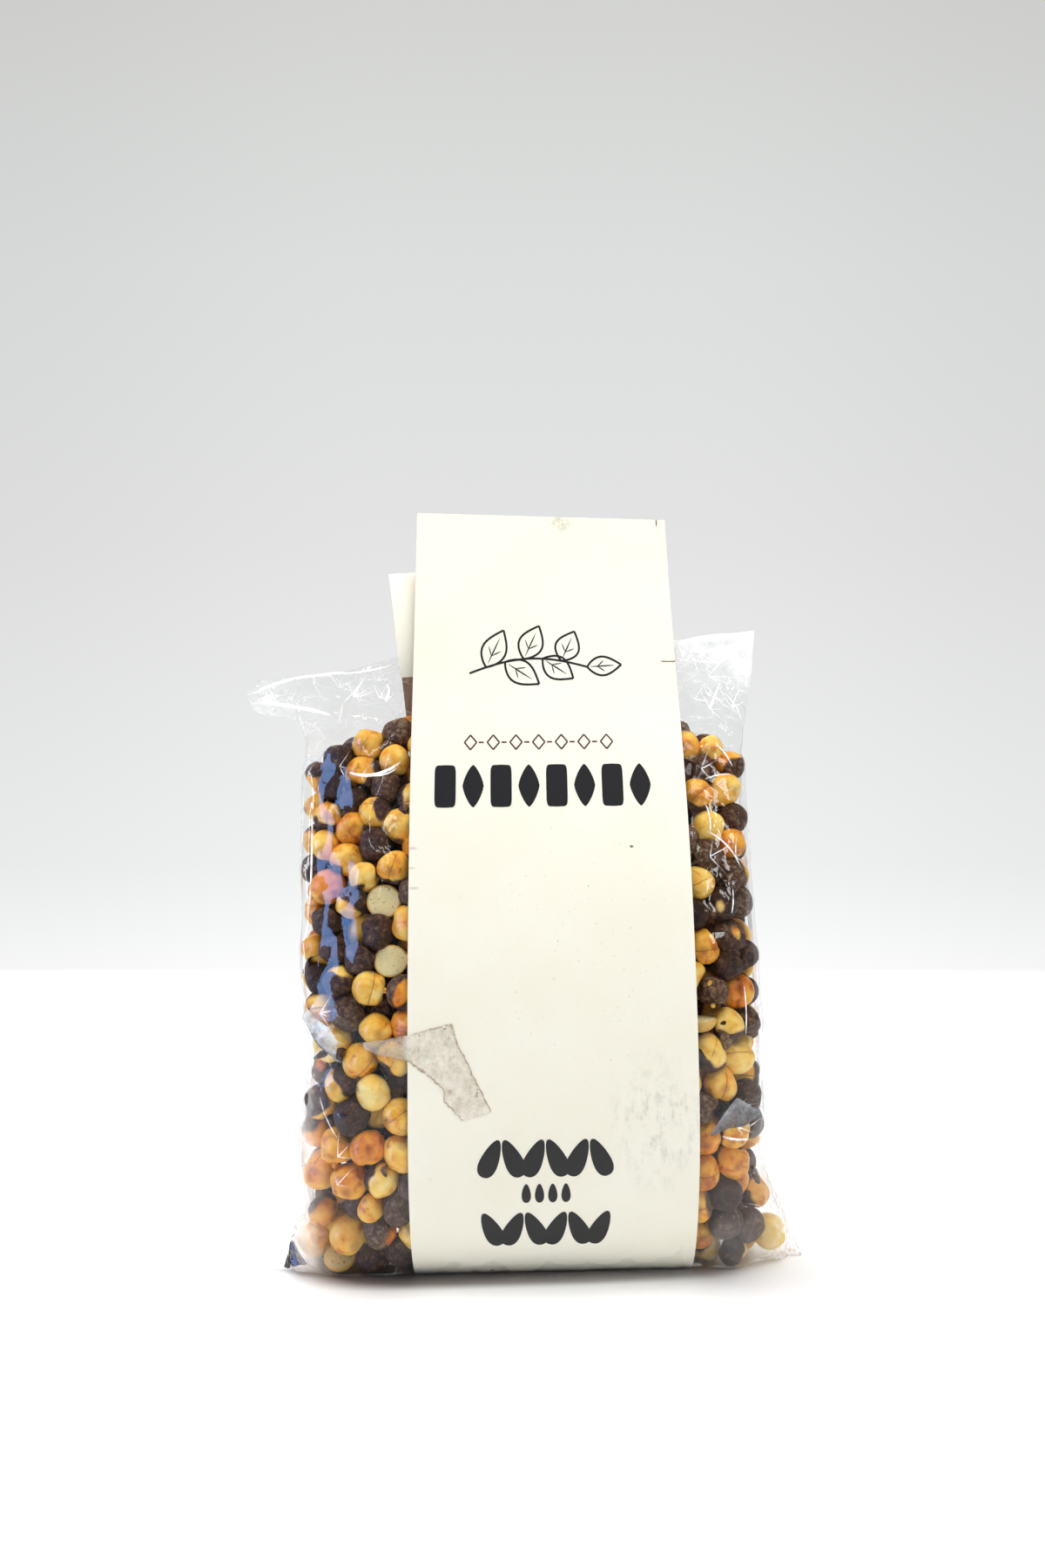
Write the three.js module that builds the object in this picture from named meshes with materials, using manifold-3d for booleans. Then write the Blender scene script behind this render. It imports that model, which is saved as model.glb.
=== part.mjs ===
// A clear pillow pouch filled with roasted chickpeas, standing on its base, with a card band
// that runs down its front, under it and up its back, where the card's end folds over forward.
// Millimetres, x to the right, y to the back, z up; the origin is the middle of the resting flat.

import * as THREE from "three";
import { ParametricGeometry } from "three/addons/geometries/ParametricGeometry.js";
import { mergeVertices } from "three/addons/utils/BufferGeometryUtils.js";
import Module from "manifold-3d";

const wasm = await Module();
wasm.setup();

const { lerp, smoothstep, clamp, seededRandom } = THREE.MathUtils;

// ---------- driving dimensions ----------

const CARD = {
  width: 76,
  thickness: 0.45,
  top: 216, // height of the front panel's upper edge
  foldHeight: 201.3, // height of the fold at the top of the back panel
  fallHeight: 169, // height of the folded-over flap's free edge
  footHalf: 9.6, // half the depth of the flat it stands on
  twist: 12, // how far the top right corner stands behind the top left one
  twistFrom: 100, // height where the front panel's twist starts
  backTwistFrom: 150, // and where the back panel's does
};
const BELLY = { y: -30.5, z: 46, lowerHeight: 47.3 }; // the front panel's most forward line
const SHOULDER = { z: 155, lean: 24.3, slope: 0.43 }; // the front panel where it leaves the pouch
const TOP_LEAN = { lean: 46.3, slope: 0.34 }; // the front panel at its upper edge
const BACK = { y: 18.5, lowerHeight: 30, straightTo: 130 }; // the pouch's back
const BACK_PANEL_TOP_Y = 18.5;
const FRONT_CENTRE = { foot: 5.4, top: 2.84 }; // x of the front panel's middle line
const BACK_CENTRE_TOP = -6; // x of the back panel's middle line at its fold
const FLAP = { centre: -0.9, y: 4.2 }; // the flap's free edge
const BACK_DRIFT = 2.6; // how late the back panel's middle line drifts to the left
const BACK_LEAN = 1.3; // how late the back panel leans forward
const FOLD_TILT = { rise: 0.1, from: 120 }; // rise of the fold line to the right, per mm

const POUCH = {
  headerY: 13, // depth at which the empty film above the chickpeas stands
  headerFrom: 150, // the front film starts to close here
  headerBackFrom: 125, // and the back film here
  headerTo: 172,
  height: 176, // the film's length from the base to its top edge
  girthPower: 2.6, // how square the filled sections are
  girthScale: 1.1, // over 1, so that the middle of a section is flat
  filledHalf: { left: 66, right: 64, rightFoot: 72, footRange: [5, 28] },
  filmHalf: 0.8, // half the thickness of the flat film edges
  closing: { power: 24, root: 0.45 }, // how abruptly the two sheets come together at a side
  topBulge: { rise: 6, power: 8 }, // rise of the top edge between its corners
  liftHeight: 12, // height over which the base lifts clear of the card
  liftMargin: [4, 8], // how far outside the card's edge that lift ends
};
const LOBE = { forward: 25, x: [34, 78], z: [140, 160] }; // the loose top left corner hangs forward
const SEAM = { forward: 5, x: [58, 75], z: [8, 24] }; // and so do the corners of the bottom seam
// How far the core lies inside the film where chickpeas show, and the ranges over which that
// comes in: above the base, below the heap's line and outside the card's edge.
const INSET = { depth: 2.2, base: [3, 18], heap: [-14, 4], card: [-2.5, 1.5] };
const CLEAR = 0.3; // gap between touching pieces
const PEA = { radius: 4.3, spread: 0.1, pitch: 9.3, rowPitch: 8, firstRow: 5, reach: 64, seed: 41 };
const HEAP = { top: 158, drop: 27, middle: 4, half: 64, power: 3.2 }; // the heap's domed upper line
const TAPE_THICKNESS = 0.35;

// The film's left and right side edges, x and z, from the corner of the bottom seam upwards.
const LEFT_EDGE = edge([
  [-75.2, 0], [-68.3, 10.6], [-62.3, 17.2], [-64.6, 28], [-63.9, 40], [-61.3, 62],
  [-65.4, 78], [-66.3, 110], [-67.4, 136], [-66, 151], [-77, 154], [-79, 158.5], [-76.5, 162.7],
]);
const RIGHT_EDGE = edge([
  [76.4, 0], [70.7, 14], [64.6, 27], [63.2, 52], [62.6, 76], [61, 105], [60, 134], [61, 149],
  [64.2, 163], [66, 180.8],
]);

// The outline of the piece of tape, x and z on the front panel, clockwise from its tail.
const TAPE_OUTLINE = [
  [-44.5, 67.3], [-33, 70.6], [-21.8, 73.2], [-18.5, 66.5], [-11.2, 52.8], [-10.6, 48.6],
  [-19.5, 47.6], [-25, 57.6], [-33, 63], [-44.5, 64],
];

// ---------- shared shape functions ----------

function edge(points) {
  const places = points.map(([x, z]) => new THREE.Vector3(x, 0, z));
  return new THREE.CatmullRomCurve3(places, false, "centripetal");
}

// A cubic from value v0 and slope s0 at t0 to value v1 and slope s1 at t1.
function cubic(t, t0, v0, s0, t1, v1, s1) {
  const w = t1 - t0;
  const u = (t - t0) / w;
  const rise = u * u * (3 - 2 * u);
  return v0 + (v1 - v0) * rise + w * (s0 * u * (1 - u) ** 2 - s1 * u * u * (1 - u));
}

// y of the front panel's outer face: a quarter ellipse up to the belly, then a long lean back.
function cardFront(z) {
  const foot = -CARD.footHalf - BELLY.y;
  if (z <= BELLY.z) {
    const full = 1 - Math.sqrt(1 - (BELLY.z / BELLY.lowerHeight) ** 2);
    const here = 1 - Math.sqrt(1 - ((BELLY.z - z) / BELLY.lowerHeight) ** 2);
    return BELLY.y + (foot * here) / full;
  }
  const lean = z <= SHOULDER.z
    ? cubic(z, BELLY.z, 0, 0, SHOULDER.z, SHOULDER.lean, SHOULDER.slope)
    : cubic(z, SHOULDER.z, SHOULDER.lean, SHOULDER.slope, CARD.top, TOP_LEAN.lean, TOP_LEAN.slope);
  return BELLY.y + lean;
}

// y of the pouch's back: a quarter ellipse above the foot, then upright.
function pouchBack(z) {
  const t = clamp(1 - z / BACK.lowerHeight, 0, 1);
  return BACK.y - (BACK.y - CARD.footHalf) * (1 - Math.sqrt(1 - t * t));
}

// y of the back panel's outer face: it follows the pouch, then leans forward to the fold.
function cardBack(z) {
  const lean = clamp((z - BACK.straightTo) / (CARD.foldHeight - BACK.straightTo), 0, 1) ** BACK_LEAN;
  const follow = pouchBack(z) + CLEAR + CARD.thickness;
  return lerp(follow, BACK_PANEL_TOP_Y, lean);
}

function filmFront(z) {
  const closing = smoothstep(z, POUCH.headerFrom, POUCH.headerTo);
  return lerp(cardFront(z) + CARD.thickness + CLEAR, POUCH.headerY - POUCH.filmHalf, closing);
}

function filmBack(z) {
  const closing = smoothstep(z, POUCH.headerBackFrom, POUCH.headerTo);
  return lerp(pouchBack(z), POUCH.headerY + POUCH.filmHalf, closing);
}

// How much farther back a panel stands for each mm to the right.
function cardTwist(z, from) {
  return (CARD.twist / CARD.width) * smoothstep(z, from, CARD.top);
}

function frontCentre(z) {
  return lerp(FRONT_CENTRE.foot, FRONT_CENTRE.top, z / CARD.top);
}

function backCentre(z) {
  const drift = (clamp(z, 0, CARD.foldHeight) / CARD.foldHeight) ** BACK_DRIFT;
  return lerp(FRONT_CENTRE.foot, BACK_CENTRE_TOP, drift);
}

// The share of the full depth that a section keeps at x: 1 over the flat middle, 0 at its sides.
function girth(x, z) {
  const { left, right, rightFoot, footRange } = POUCH.filledHalf;
  const half = x < 0 ? left : lerp(rightFoot, right, smoothstep(z, ...footRange));
  const t = Math.min(Math.abs(x) / half, 1);
  return Math.min(1, POUCH.girthScale * (1 - t ** POUCH.girthPower) ** (1 / POUCH.girthPower));
}

// Height of the heap's upper line at x.
function heapTop(x) {
  return HEAP.top - HEAP.drop * Math.abs((x - HEAP.middle) / HEAP.half) ** HEAP.power;
}

// ---------- the pouch ----------

// A point of the film: s runs from the left side to the right, h from the base to the top edge,
// and side is -1 for the front sheet, 1 for the back one. inset draws it in where chickpeas show.
function filmPoint(s, h, side, inset) {
  const left = LEFT_EDGE.getPointAt(h);
  const right = RIGHT_EDGE.getPointAt(h);
  const outward = 2 * s - 1;
  const x = lerp(left.x, right.x, s);
  const bulge = POUCH.topBulge.rise * 6.75 * s * (1 - s) ** 2 * h ** POUCH.topBulge.power; // 6.75: peak of 1
  const level = lerp(left.z, right.z, s) + bulge;
  const [inner, outer] = POUCH.liftMargin.map((margin) => CARD.width / 2 + margin);
  const onCard = 1 - smoothstep(Math.abs(x - FRONT_CENTRE.foot), inner, outer);
  const z = level + (CARD.thickness + CLEAR) * onCard * Math.max(0, 1 - level / POUCH.liftHeight);
  const [heapLow, heapHigh] = INSET.heap.map((margin) => heapTop(x) + margin);
  const shown = inset * smoothstep(z, ...INSET.base) * (1 - smoothstep(z, heapLow, heapHigh));
  const bare = smoothstep(Math.abs(x - frontCentre(z)) - CARD.width / 2, ...INSET.card);
  const lobe = smoothstep(-x, ...LOBE.x) * smoothstep(z, ...LOBE.z);
  const seam = smoothstep(Math.abs(x), ...SEAM.x) * (1 - smoothstep(z, ...SEAM.z));
  const reach = clamp(x - frontCentre(level), -CARD.width / 2, CARD.width / 2);
  const pressed = Math.max(cardTwist(level, CARD.twistFrom) * reach, 0);
  const front = filmFront(level) + pressed * (1 - smoothstep(z, POUCH.headerFrom, POUCH.headerTo));
  const back = filmBack(level);
  const middle = (front + back) / 2 - LOBE.forward * lobe - SEAM.forward * seam;
  const depth = ((back - front) / 2) * girth(x, z) - shown * bare;
  const closed = (1 - Math.abs(outward) ** POUCH.closing.power) ** POUCH.closing.root;
  const y = middle + side * Math.max(depth, POUCH.filmHalf) * closed;
  return new THREE.Vector3(x - shown * outward * Math.abs(outward) ** 3, y, z);
}

function toManifold(geometry) {
  const bare = new THREE.BufferGeometry();
  bare.setAttribute("position", geometry.getAttribute("position"));
  if (geometry.index) bare.setIndex(geometry.index);
  const merged = mergeVertices(bare, 1e-3);
  const corners = merged.index.array;
  const kept = [];
  for (let i = 0; i < corners.length; i += 3) {
    const [a, b, c] = [corners[i], corners[i + 1], corners[i + 2]];
    if (a !== b && b !== c && c !== a) kept.push(a, b, c);
  }
  return new wasm.Manifold(
    new wasm.Mesh({
      numProp: 3,
      vertProperties: merged.attributes.position.array,
      triVerts: new Uint32Array(kept),
    }),
  );
}

function fromManifold(solid) {
  const { vertProperties, triVerts } = solid.getMesh();
  const geometry = new THREE.BufferGeometry();
  geometry.setAttribute("position", new THREE.BufferAttribute(vertProperties, 3));
  geometry.setIndex(new THREE.BufferAttribute(triVerts, 1));
  geometry.computeVertexNormals();
  return geometry;
}

// The core as one closed surface: u runs round a section, front sheet first, and v runs up the
// rows. The first and last rows are drawn together onto the middle line, which closes the ends.
function coreGeometry() {
  const columns = 22;
  const rows = 24;
  const crowd = -0.45; // under 0 spreads the columns out more evenly than the cosine does
  const ease = (t) => 0.5 - 0.5 * Math.cos(Math.PI * t);
  const surface = (u, v, target) => {
    const step = Math.round(u * 2 * columns);
    const side = step <= columns ? -1 : 1;
    const along = step <= columns ? step / columns : 2 - step / columns;
    const row = Math.round(v * (rows + 2)) - 1;
    const h = (clamp(row, 0, rows) / rows) ** 1.15;
    const s = ease(lerp(along, ease(along), crowd));
    const point = filmPoint(s, h, side, INSET.depth);
    if (row < 0 || row > rows) point.y = (point.y + filmPoint(s, h, -side, INSET.depth).y) / 2;
    target.copy(point);
  };
  return new ParametricGeometry(surface, 2 * columns, rows + 2);
}

// Points spaced evenly round one side of a section, from beside the front panel's edge round to
// beside the back panel's, each with its outward normal.
function seatsRound(h, sign, first) {
  const seats = [];
  const line = [];
  const parts = 160;
  for (let i = 0; i <= 2 * parts; i++) {
    const turn = Math.abs(1 - i / parts); // 1 on the card's middle, 0 at the side edge, 1 again
    const s = sign < 0 ? 0.5 * turn : 1 - 0.5 * turn;
    line.push({ s, side: i <= parts ? -1 : 1, at: filmPoint(s, h, i <= parts ? -1 : 1, 0) });
  }
  let due = first;
  for (let i = 1; i < line.length; i++) {
    const { s, side, at } = line[i];
    const cardCentre = side < 0 ? frontCentre(at.z) : backCentre(at.z);
    if (Math.abs(at.x - cardCentre) < CARD.width / 2 + PEA.radius + 1) continue;
    due -= at.distanceTo(line[i - 1].at);
    if (due > 0) continue;
    due += PEA.pitch;
    const across = new THREE.Vector3().subVectors(line[i].at, line[i - 1].at);
    const up = filmPoint(s, Math.min(h + 0.01, 1), side, 0).sub(filmPoint(s, Math.max(h - 0.01, 0), side, 0));
    const normal = new THREE.Vector3().crossVectors(across, up).normalize();
    if (normal.y * side < 0) normal.negate();
    seats.push({ at, normal });
  }
  return seats;
}

// The low chickpeas that show through the film beside the card, front, side and back.
function shownPeas() {
  const peas = [];
  seededRandom(PEA.seed);
  const rows = Math.floor((HEAP.top - PEA.firstRow) / PEA.rowPitch);
  for (let row = 0; row < rows; row++) {
    for (const sign of [-1, 1]) {
      const start = (row % 2) * 0.5 * PEA.pitch;
      const h = (PEA.firstRow + row * PEA.rowPitch) / POUCH.height;
      for (const seat of seatsRound(h, sign, start)) {
        const radius = PEA.radius * (1 + PEA.spread * (2 * seededRandom() - 1));
        const centre = seat.at.clone().addScaledVector(seat.normal, -radius);
        centre.z = Math.max(centre.z, radius + 0.1);
        const turn = [seededRandom(), seededRandom(), seededRandom()];
        if (centre.z + radius > heapTop(centre.x) + 2) continue;
        if (Math.abs(centre.x) > PEA.reach) continue;
        const pea = new THREE.IcosahedronGeometry(radius, 0);
        pea.rotateX(6 * turn[0]).rotateY(6 * turn[1]).rotateZ(6 * turn[2]);
        pea.translate(centre.x, centre.y, centre.z);
        peas.push(toManifold(pea));
      }
    }
  }
  return peas;
}

// ---------- the card band ----------

// The band's stations: the middle of its thickness, the way across it and the way out of it.
function bandStations() {
  const half = CARD.thickness / 2;
  const line = [];
  const add = (x, y, z, tiltZ, tiltY) => line.push({ at: new THREE.Vector3(x, y, z), tiltZ, tiltY });
  const inPlane = (FRONT_CENTRE.foot - FRONT_CENTRE.top) / CARD.top;
  const heights = [];
  const frontStep = 7;
  const backStep = 8;
  for (let z = CARD.top; z > BELLY.z; z -= frontStep) heights.push(z);
  const frontTurns = 14;
  for (let i = 0; i < frontTurns; i++) heights.push(BELLY.z * Math.cos((i / frontTurns) * (Math.PI / 2)));
  for (const z of heights) {
    const lift = Math.max(z, half);
    const tilt = inPlane * smoothstep(z, 0, BACK.lowerHeight);
    add(frontCentre(z), cardFront(lift) + half, lift, tilt, cardTwist(z, CARD.twistFrom));
  }
  for (const share of [-1, -0.33, 0.33, 1]) {
    add(FRONT_CENTRE.foot, share * CARD.footHalf, half, 0, 0);
  }
  const backTurns = 10;
  for (let i = 1; i <= backTurns; i++) {
    const z = half + (BACK.lowerHeight - half) * (1 - Math.cos((i / backTurns) * (Math.PI / 2)));
    add(backCentre(z), cardBack(z) - half, z, 0, 0);
  }
  for (let z = BACK.lowerHeight + backStep; z < CARD.foldHeight - 2; z += backStep) {
    const tilt = FOLD_TILT.rise * smoothstep(z, FOLD_TILT.from, CARD.foldHeight);
    add(backCentre(z), cardBack(z) - half, z, tilt, cardTwist(z, CARD.backTwistFrom));
  }
  const fallTurns = 9;
  for (let i = 0; i <= fallTurns; i++) {
    const t = i / fallTurns;
    const x = lerp(BACK_CENTRE_TOP, FLAP.centre, t);
    const y = lerp(BACK_PANEL_TOP_Y - 1, FLAP.y, 1 - (1 - t) ** 1.5);
    const z = lerp(CARD.foldHeight, CARD.fallHeight, t ** 1.2);
    add(x, y, z, FOLD_TILT.rise, cardTwist(z, CARD.twistFrom));
  }
  return line;
}

// The band as one closed surface: u runs round its thin section, outer face first, and v runs
// along the band. The end rows are drawn together onto the middle of the thickness.
function bandGeometry() {
  const stations = bandStations();
  const last = stations.length - 1;
  const across = 4;
  const around = 2 * (across + 1);
  const surface = (u, v, target) => {
    const row = Math.round(v * (last + 2)) - 1;
    const index = clamp(row, 0, last);
    const here = stations[index];
    const before = stations[Math.max(index - 1, 0)].at;
    const after = stations[Math.min(index + 1, last)].at;
    const way = new THREE.Vector3(1, here.tiltY, here.tiltZ).normalize();
    const out = new THREE.Vector3().subVectors(before, after).cross(way).normalize();
    const step = Math.round(u * around) % around;
    const outer = step <= across;
    const share = outer ? step / across : 1 - (step - across - 1) / across;
    const lift = row < 0 || row > last ? 0 : (outer ? 0.5 : -0.5) * CARD.thickness;
    target.copy(here.at).addScaledVector(way, (share - 0.5) * CARD.width).addScaledVector(out, lift);
  };
  return new ParametricGeometry(surface, around, last + 2);
}

// ---------- the tape ----------

// A flat outline pushed onto the front panel's curve, with a small gap to the card.
function tapeGeometry() {
  const outline = new THREE.Shape(TAPE_OUTLINE.map(([x, z]) => new THREE.Vector2(x, z)));
  const geometry = new THREE.ExtrudeGeometry(outline, { depth: TAPE_THICKNESS, bevelEnabled: false });
  const place = geometry.getAttribute("position");
  for (let i = 0; i < place.count; i++) {
    const z = place.getY(i);
    const y = cardFront(z) - CLEAR - place.getZ(i);
    place.setXYZ(i, place.getX(i), y, z);
  }
  return geometry;
}

// ---------- the scene graph ----------

function named(name, geometry, colour, roughness) {
  const material = new THREE.MeshStandardMaterial({ color: colour, roughness, metalness: 0 });
  const mesh = new THREE.Mesh(geometry, material);
  mesh.name = name;
  return mesh;
}

const core = toManifold(coreGeometry());
const filled = wasm.Manifold.union([core, ...shownPeas()]);

const part = new THREE.Group();
part.add(named("bag", fromManifold(filled), 0xb07a3a, 0.6));
part.add(named("card_band", bandGeometry(), 0xf7f4e8, 0.75));
part.add(named("tape", tapeGeometry(), 0xd8d0bd, 0.5));

export default part;
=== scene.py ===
"""A clear pouch of roasted chickpeas in a card band: the looks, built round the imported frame.

Shapes are worked out in millimetres, in the frame's own axes (x right, y back, z up), and turned
into metres where a mesh is made.
"""
import math

import bpy
import numpy as np
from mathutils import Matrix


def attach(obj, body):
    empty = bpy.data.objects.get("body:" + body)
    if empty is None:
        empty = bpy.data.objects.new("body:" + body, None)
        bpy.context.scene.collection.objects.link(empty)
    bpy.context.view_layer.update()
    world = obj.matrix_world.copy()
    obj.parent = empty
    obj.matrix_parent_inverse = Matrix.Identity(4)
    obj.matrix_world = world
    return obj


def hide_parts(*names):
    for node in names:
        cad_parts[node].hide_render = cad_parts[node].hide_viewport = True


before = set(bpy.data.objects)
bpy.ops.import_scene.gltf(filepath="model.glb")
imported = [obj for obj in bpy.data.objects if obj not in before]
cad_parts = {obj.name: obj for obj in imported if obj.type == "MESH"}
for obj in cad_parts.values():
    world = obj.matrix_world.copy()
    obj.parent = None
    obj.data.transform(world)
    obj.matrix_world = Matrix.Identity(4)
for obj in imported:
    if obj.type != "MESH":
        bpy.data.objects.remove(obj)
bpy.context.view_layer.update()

MM = 0.001

# ---------- driving dimensions, the same as the solids' ----------

CARD_WIDTH = 76.0
CARD_THICK = 0.45
CARD_TOP = 216.0
FOLD_Z = 201.3
FALL_Z = 169.0
FOOT_HALF = 9.6
TWIST = 12.0
TWIST_FROM = 100.0
BACK_TWIST_FROM = 150.0
BELLY_Y, BELLY_Z, BELLY_RISE = -30.5, 46.0, 47.3
SHOULDER_Z, SHOULDER_LEAN, SHOULDER_SLOPE = 155.0, 24.3, 0.43
TOP_LEAN, TOP_SLOPE = 46.3, 0.34
BACK_Y, BACK_RISE, BACK_STRAIGHT = 18.5, 30.0, 130.0
BACK_TOP_Y = 18.5
FRONT_CENTRE_FOOT, FRONT_CENTRE_TOP = 5.4, 2.84
BACK_CENTRE_TOP = -6.0
FLAP_CENTRE, FLAP_Y = -0.9, 4.2
FOLD_TILT = 0.1
BACK_LEAN_POWER, BACK_CENTRE_POWER = 1.3, 2.6

HEADER_Y = 13.0
HEADER_FROM, HEADER_BACK_FROM, HEADER_TO = 150.0, 125.0, 172.0
GIRTH_POWER, GIRTH_FLAT = 2.6, 1.1
FILLED_LEFT, FILLED_RIGHT, FILLED_RIGHT_FOOT = 66.0, 64.0, 72.0
FOOT_SWELL = (5, 28)
FILM_HALF = 0.8
TOP_BULGE, BULGE_POWER = 6.0, 8
BULGE_RISE, BULGE_FALL = (0.08, 0.3), (0.32, 0.86)
LOBE_FORWARD = 25.0
LOBE_X, LOBE_Z = (34, 78), (140, 160)
SEAM_FORWARD_LEFT, SEAM_FORWARD_RIGHT = 5.0, 2.0
SEAM_X, SEAM_Z = (58, 75), (8, 24)
SAG_FROM, SAG_TO, SAG_HEIGHT = CARD_WIDTH / 2 + 4, CARD_WIDTH / 2 + 8, 12
EDGE_FLATNESS, EDGE_ROUNDING = 24, 0.45
FOOT_TURN, FOOT_TURN_TO = 0.06, 60.0
CLEAR = 0.3
FILM_COLUMNS, FILM_ROWS = 200, 244
PEA_RADIUS = 4.5
HEAP_TOP, HEAP_DROP, HEAP_POWER = 158.0, 27.0, 3.2
HEAP_MIDDLE, HEAP_LEFT, HEAP_RIGHT = 4, 76.0, 64.0

# The pouch's side edges as seen from the front, from the base up: x and z of points.
LEFT_EDGE = [
    (-75.2, 0), (-68.3, 10.6), (-62.3, 17.2), (-64.6, 28), (-63.9, 40), (-61.3, 62),
    (-65.4, 78), (-66.3, 110), (-67.4, 136), (-66, 151), (-77, 154), (-79, 158.5), (-76.5, 162.7),
]
RIGHT_EDGE = [
    (76.4, 0), (70.7, 14), (64.6, 27), (63.2, 52), (62.6, 76), (61, 105), (60, 134), (61, 149),
    (64.2, 163), (66, 180.8),
]
# How many steps of the left edge's walk lie below its lobe, where x still goes with z.
BELOW_LOBE = 500

PACKING_SEED, FILM_SEED, CREASE_SEED, TAPE_SEED = 11, 5, 8, 3

# ---------- shared shape functions ----------


def smooth(x, low, high):
    """A soft step from 0 at low to 1 at high: three times the square less twice the cube."""
    t = np.clip((x - low) / (high - low), 0.0, 1.0)
    return t * t * (3.0 - 2.0 * t)


def mix(a, b, t):
    """The value at share t of the way from a to b."""
    return a + (b - a) * t


def cubic(t, t0, v0, s0, t1, v1, s1):
    """The cubic that leaves v0 with slope s0 at t0 and reaches v1 with slope s1 at t1."""
    w = t1 - t0
    u = (t - t0) / w
    return v0 + (v1 - v0) * u * u * (3 - 2 * u) + w * (s0 * u * (1 - u) ** 2 - s1 * u * u * (1 - u))


def card_front(z):
    """y of the front panel's outer face: a quarter ellipse up to the belly, then two cubics that
    lean back to the top edge."""
    foot = -FOOT_HALF - BELLY_Y
    full = 1 - math.sqrt(1 - (BELLY_Z / BELLY_RISE) ** 2)
    drop = np.clip((BELLY_Z - z) / BELLY_RISE, 0, 1)
    low = foot * (1 - np.sqrt(1 - drop * drop)) / full
    middle = cubic(z, BELLY_Z, 0, 0, SHOULDER_Z, SHOULDER_LEAN, SHOULDER_SLOPE)
    high = cubic(z, SHOULDER_Z, SHOULDER_LEAN, SHOULDER_SLOPE, CARD_TOP, TOP_LEAN, TOP_SLOPE)
    return BELLY_Y + np.where(z <= BELLY_Z, low, np.where(z <= SHOULDER_Z, middle, high))


def pouch_back(z):
    """y of the pouch's back: a quarter ellipse above the foot, then upright."""
    t = np.clip(1 - z / BACK_RISE, 0, 1)
    return BACK_Y - (BACK_Y - FOOT_HALF) * (1 - np.sqrt(1 - t * t))


def card_back(z):
    """y of the back panel's outer face: it follows the pouch, then leans forward to the fold."""
    lean = np.clip((z - BACK_STRAIGHT) / (FOLD_Z - BACK_STRAIGHT), 0, 1) ** BACK_LEAN_POWER
    return mix(pouch_back(z) + CLEAR + CARD_THICK, BACK_TOP_Y, lean)


def film_front(z):
    """y of the front sheet at its fullest: just behind the front panel, then a soft step in to the
    empty top."""
    closing = smooth(z, HEADER_FROM, HEADER_TO)
    return mix(card_front(z) + CARD_THICK + CLEAR, HEADER_Y - FILM_HALF, closing)


def film_back(z):
    """y of the back sheet at its fullest: the pouch's back, then a soft step in to the empty top."""
    closing = smooth(z, HEADER_BACK_FROM, HEADER_TO)
    return mix(pouch_back(z), HEADER_Y + FILM_HALF, closing)


def card_twist(z, start):
    """How much farther back a panel stands for each mm to the right, at height z."""
    return TWIST / CARD_WIDTH * smooth(z, start, CARD_TOP)


def front_centre(z):
    """x of the front panel's middle line: straight, and leaning a little to the left."""
    return mix(FRONT_CENTRE_FOOT, FRONT_CENTRE_TOP, z / CARD_TOP)


def back_centre(z):
    """x of the back panel's middle line: a power curve that bends to the left at the top."""
    return mix(FRONT_CENTRE_FOOT, BACK_CENTRE_TOP, (np.clip(z, 0, FOLD_Z) / FOLD_Z) ** BACK_CENTRE_POWER)


def filled_half(x, z):
    """How far the filling reaches from the middle at x's side: wider at the foot on the right."""
    right = mix(FILLED_RIGHT_FOOT, FILLED_RIGHT, smooth(z, *FOOT_SWELL))
    return np.where(x < 0, FILLED_LEFT, right)


def girth(x, z):
    """The share of a section's full depth at x: a superellipse, cut flat over the middle."""
    t = np.minimum(np.abs(x) / filled_half(x, z), 1)
    return np.minimum(1, GIRTH_FLAT * (1 - t ** GIRTH_POWER) ** (1 / GIRTH_POWER))


def heap_top(x):
    """Height of the heap's domed upper line at x: it falls off by a power of the way out."""
    half = np.where(x < HEAP_MIDDLE, HEAP_LEFT, HEAP_RIGHT)
    return HEAP_TOP - HEAP_DROP * np.abs((x - HEAP_MIDDLE) / half) ** HEAP_POWER


def edge_walk(points, count=60):
    """An even walk along the centripetal Catmull-Rom curve through the points: it gives the share
    of the length walked, x and z at each step."""
    p = np.array(points, float)
    p = np.vstack([2 * p[0] - p[1], p, 2 * p[-1] - p[-2]])
    gap = np.linalg.norm(np.diff(p, axis=0), axis=1)[:, None] ** 0.5
    a, b, c, d = p[:-3], p[1:-2], p[2:-1], p[3:]
    ga, gb, gc = gap[:-2], gap[1:-1], gap[2:]
    out = ((b - a) / ga - (c - a) / (ga + gb) + (c - b) / gb) * gb
    into = ((c - b) / gb - (d - b) / (gb + gc) + (d - c) / gc) * gb
    u = np.linspace(0, 1, count, endpoint=False)[None, :, None]
    b, c, out, into = (v[:, None, :] for v in (b, c, out, into))
    curve = b + out * u + (3 * (c - b) - 2 * out - into) * u ** 2 + (2 * (b - c) + out + into) * u ** 3
    curve = np.vstack([curve.reshape(-1, 2), p[-2:-1]])
    walked = np.concatenate([[0], np.cumsum(np.linalg.norm(np.diff(curve, axis=0), axis=1))])
    return walked / walked[-1], curve[:, 0], curve[:, 1]


LEFT_WALK = edge_walk(LEFT_EDGE)
RIGHT_WALK = edge_walk(RIGHT_EDGE)


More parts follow.
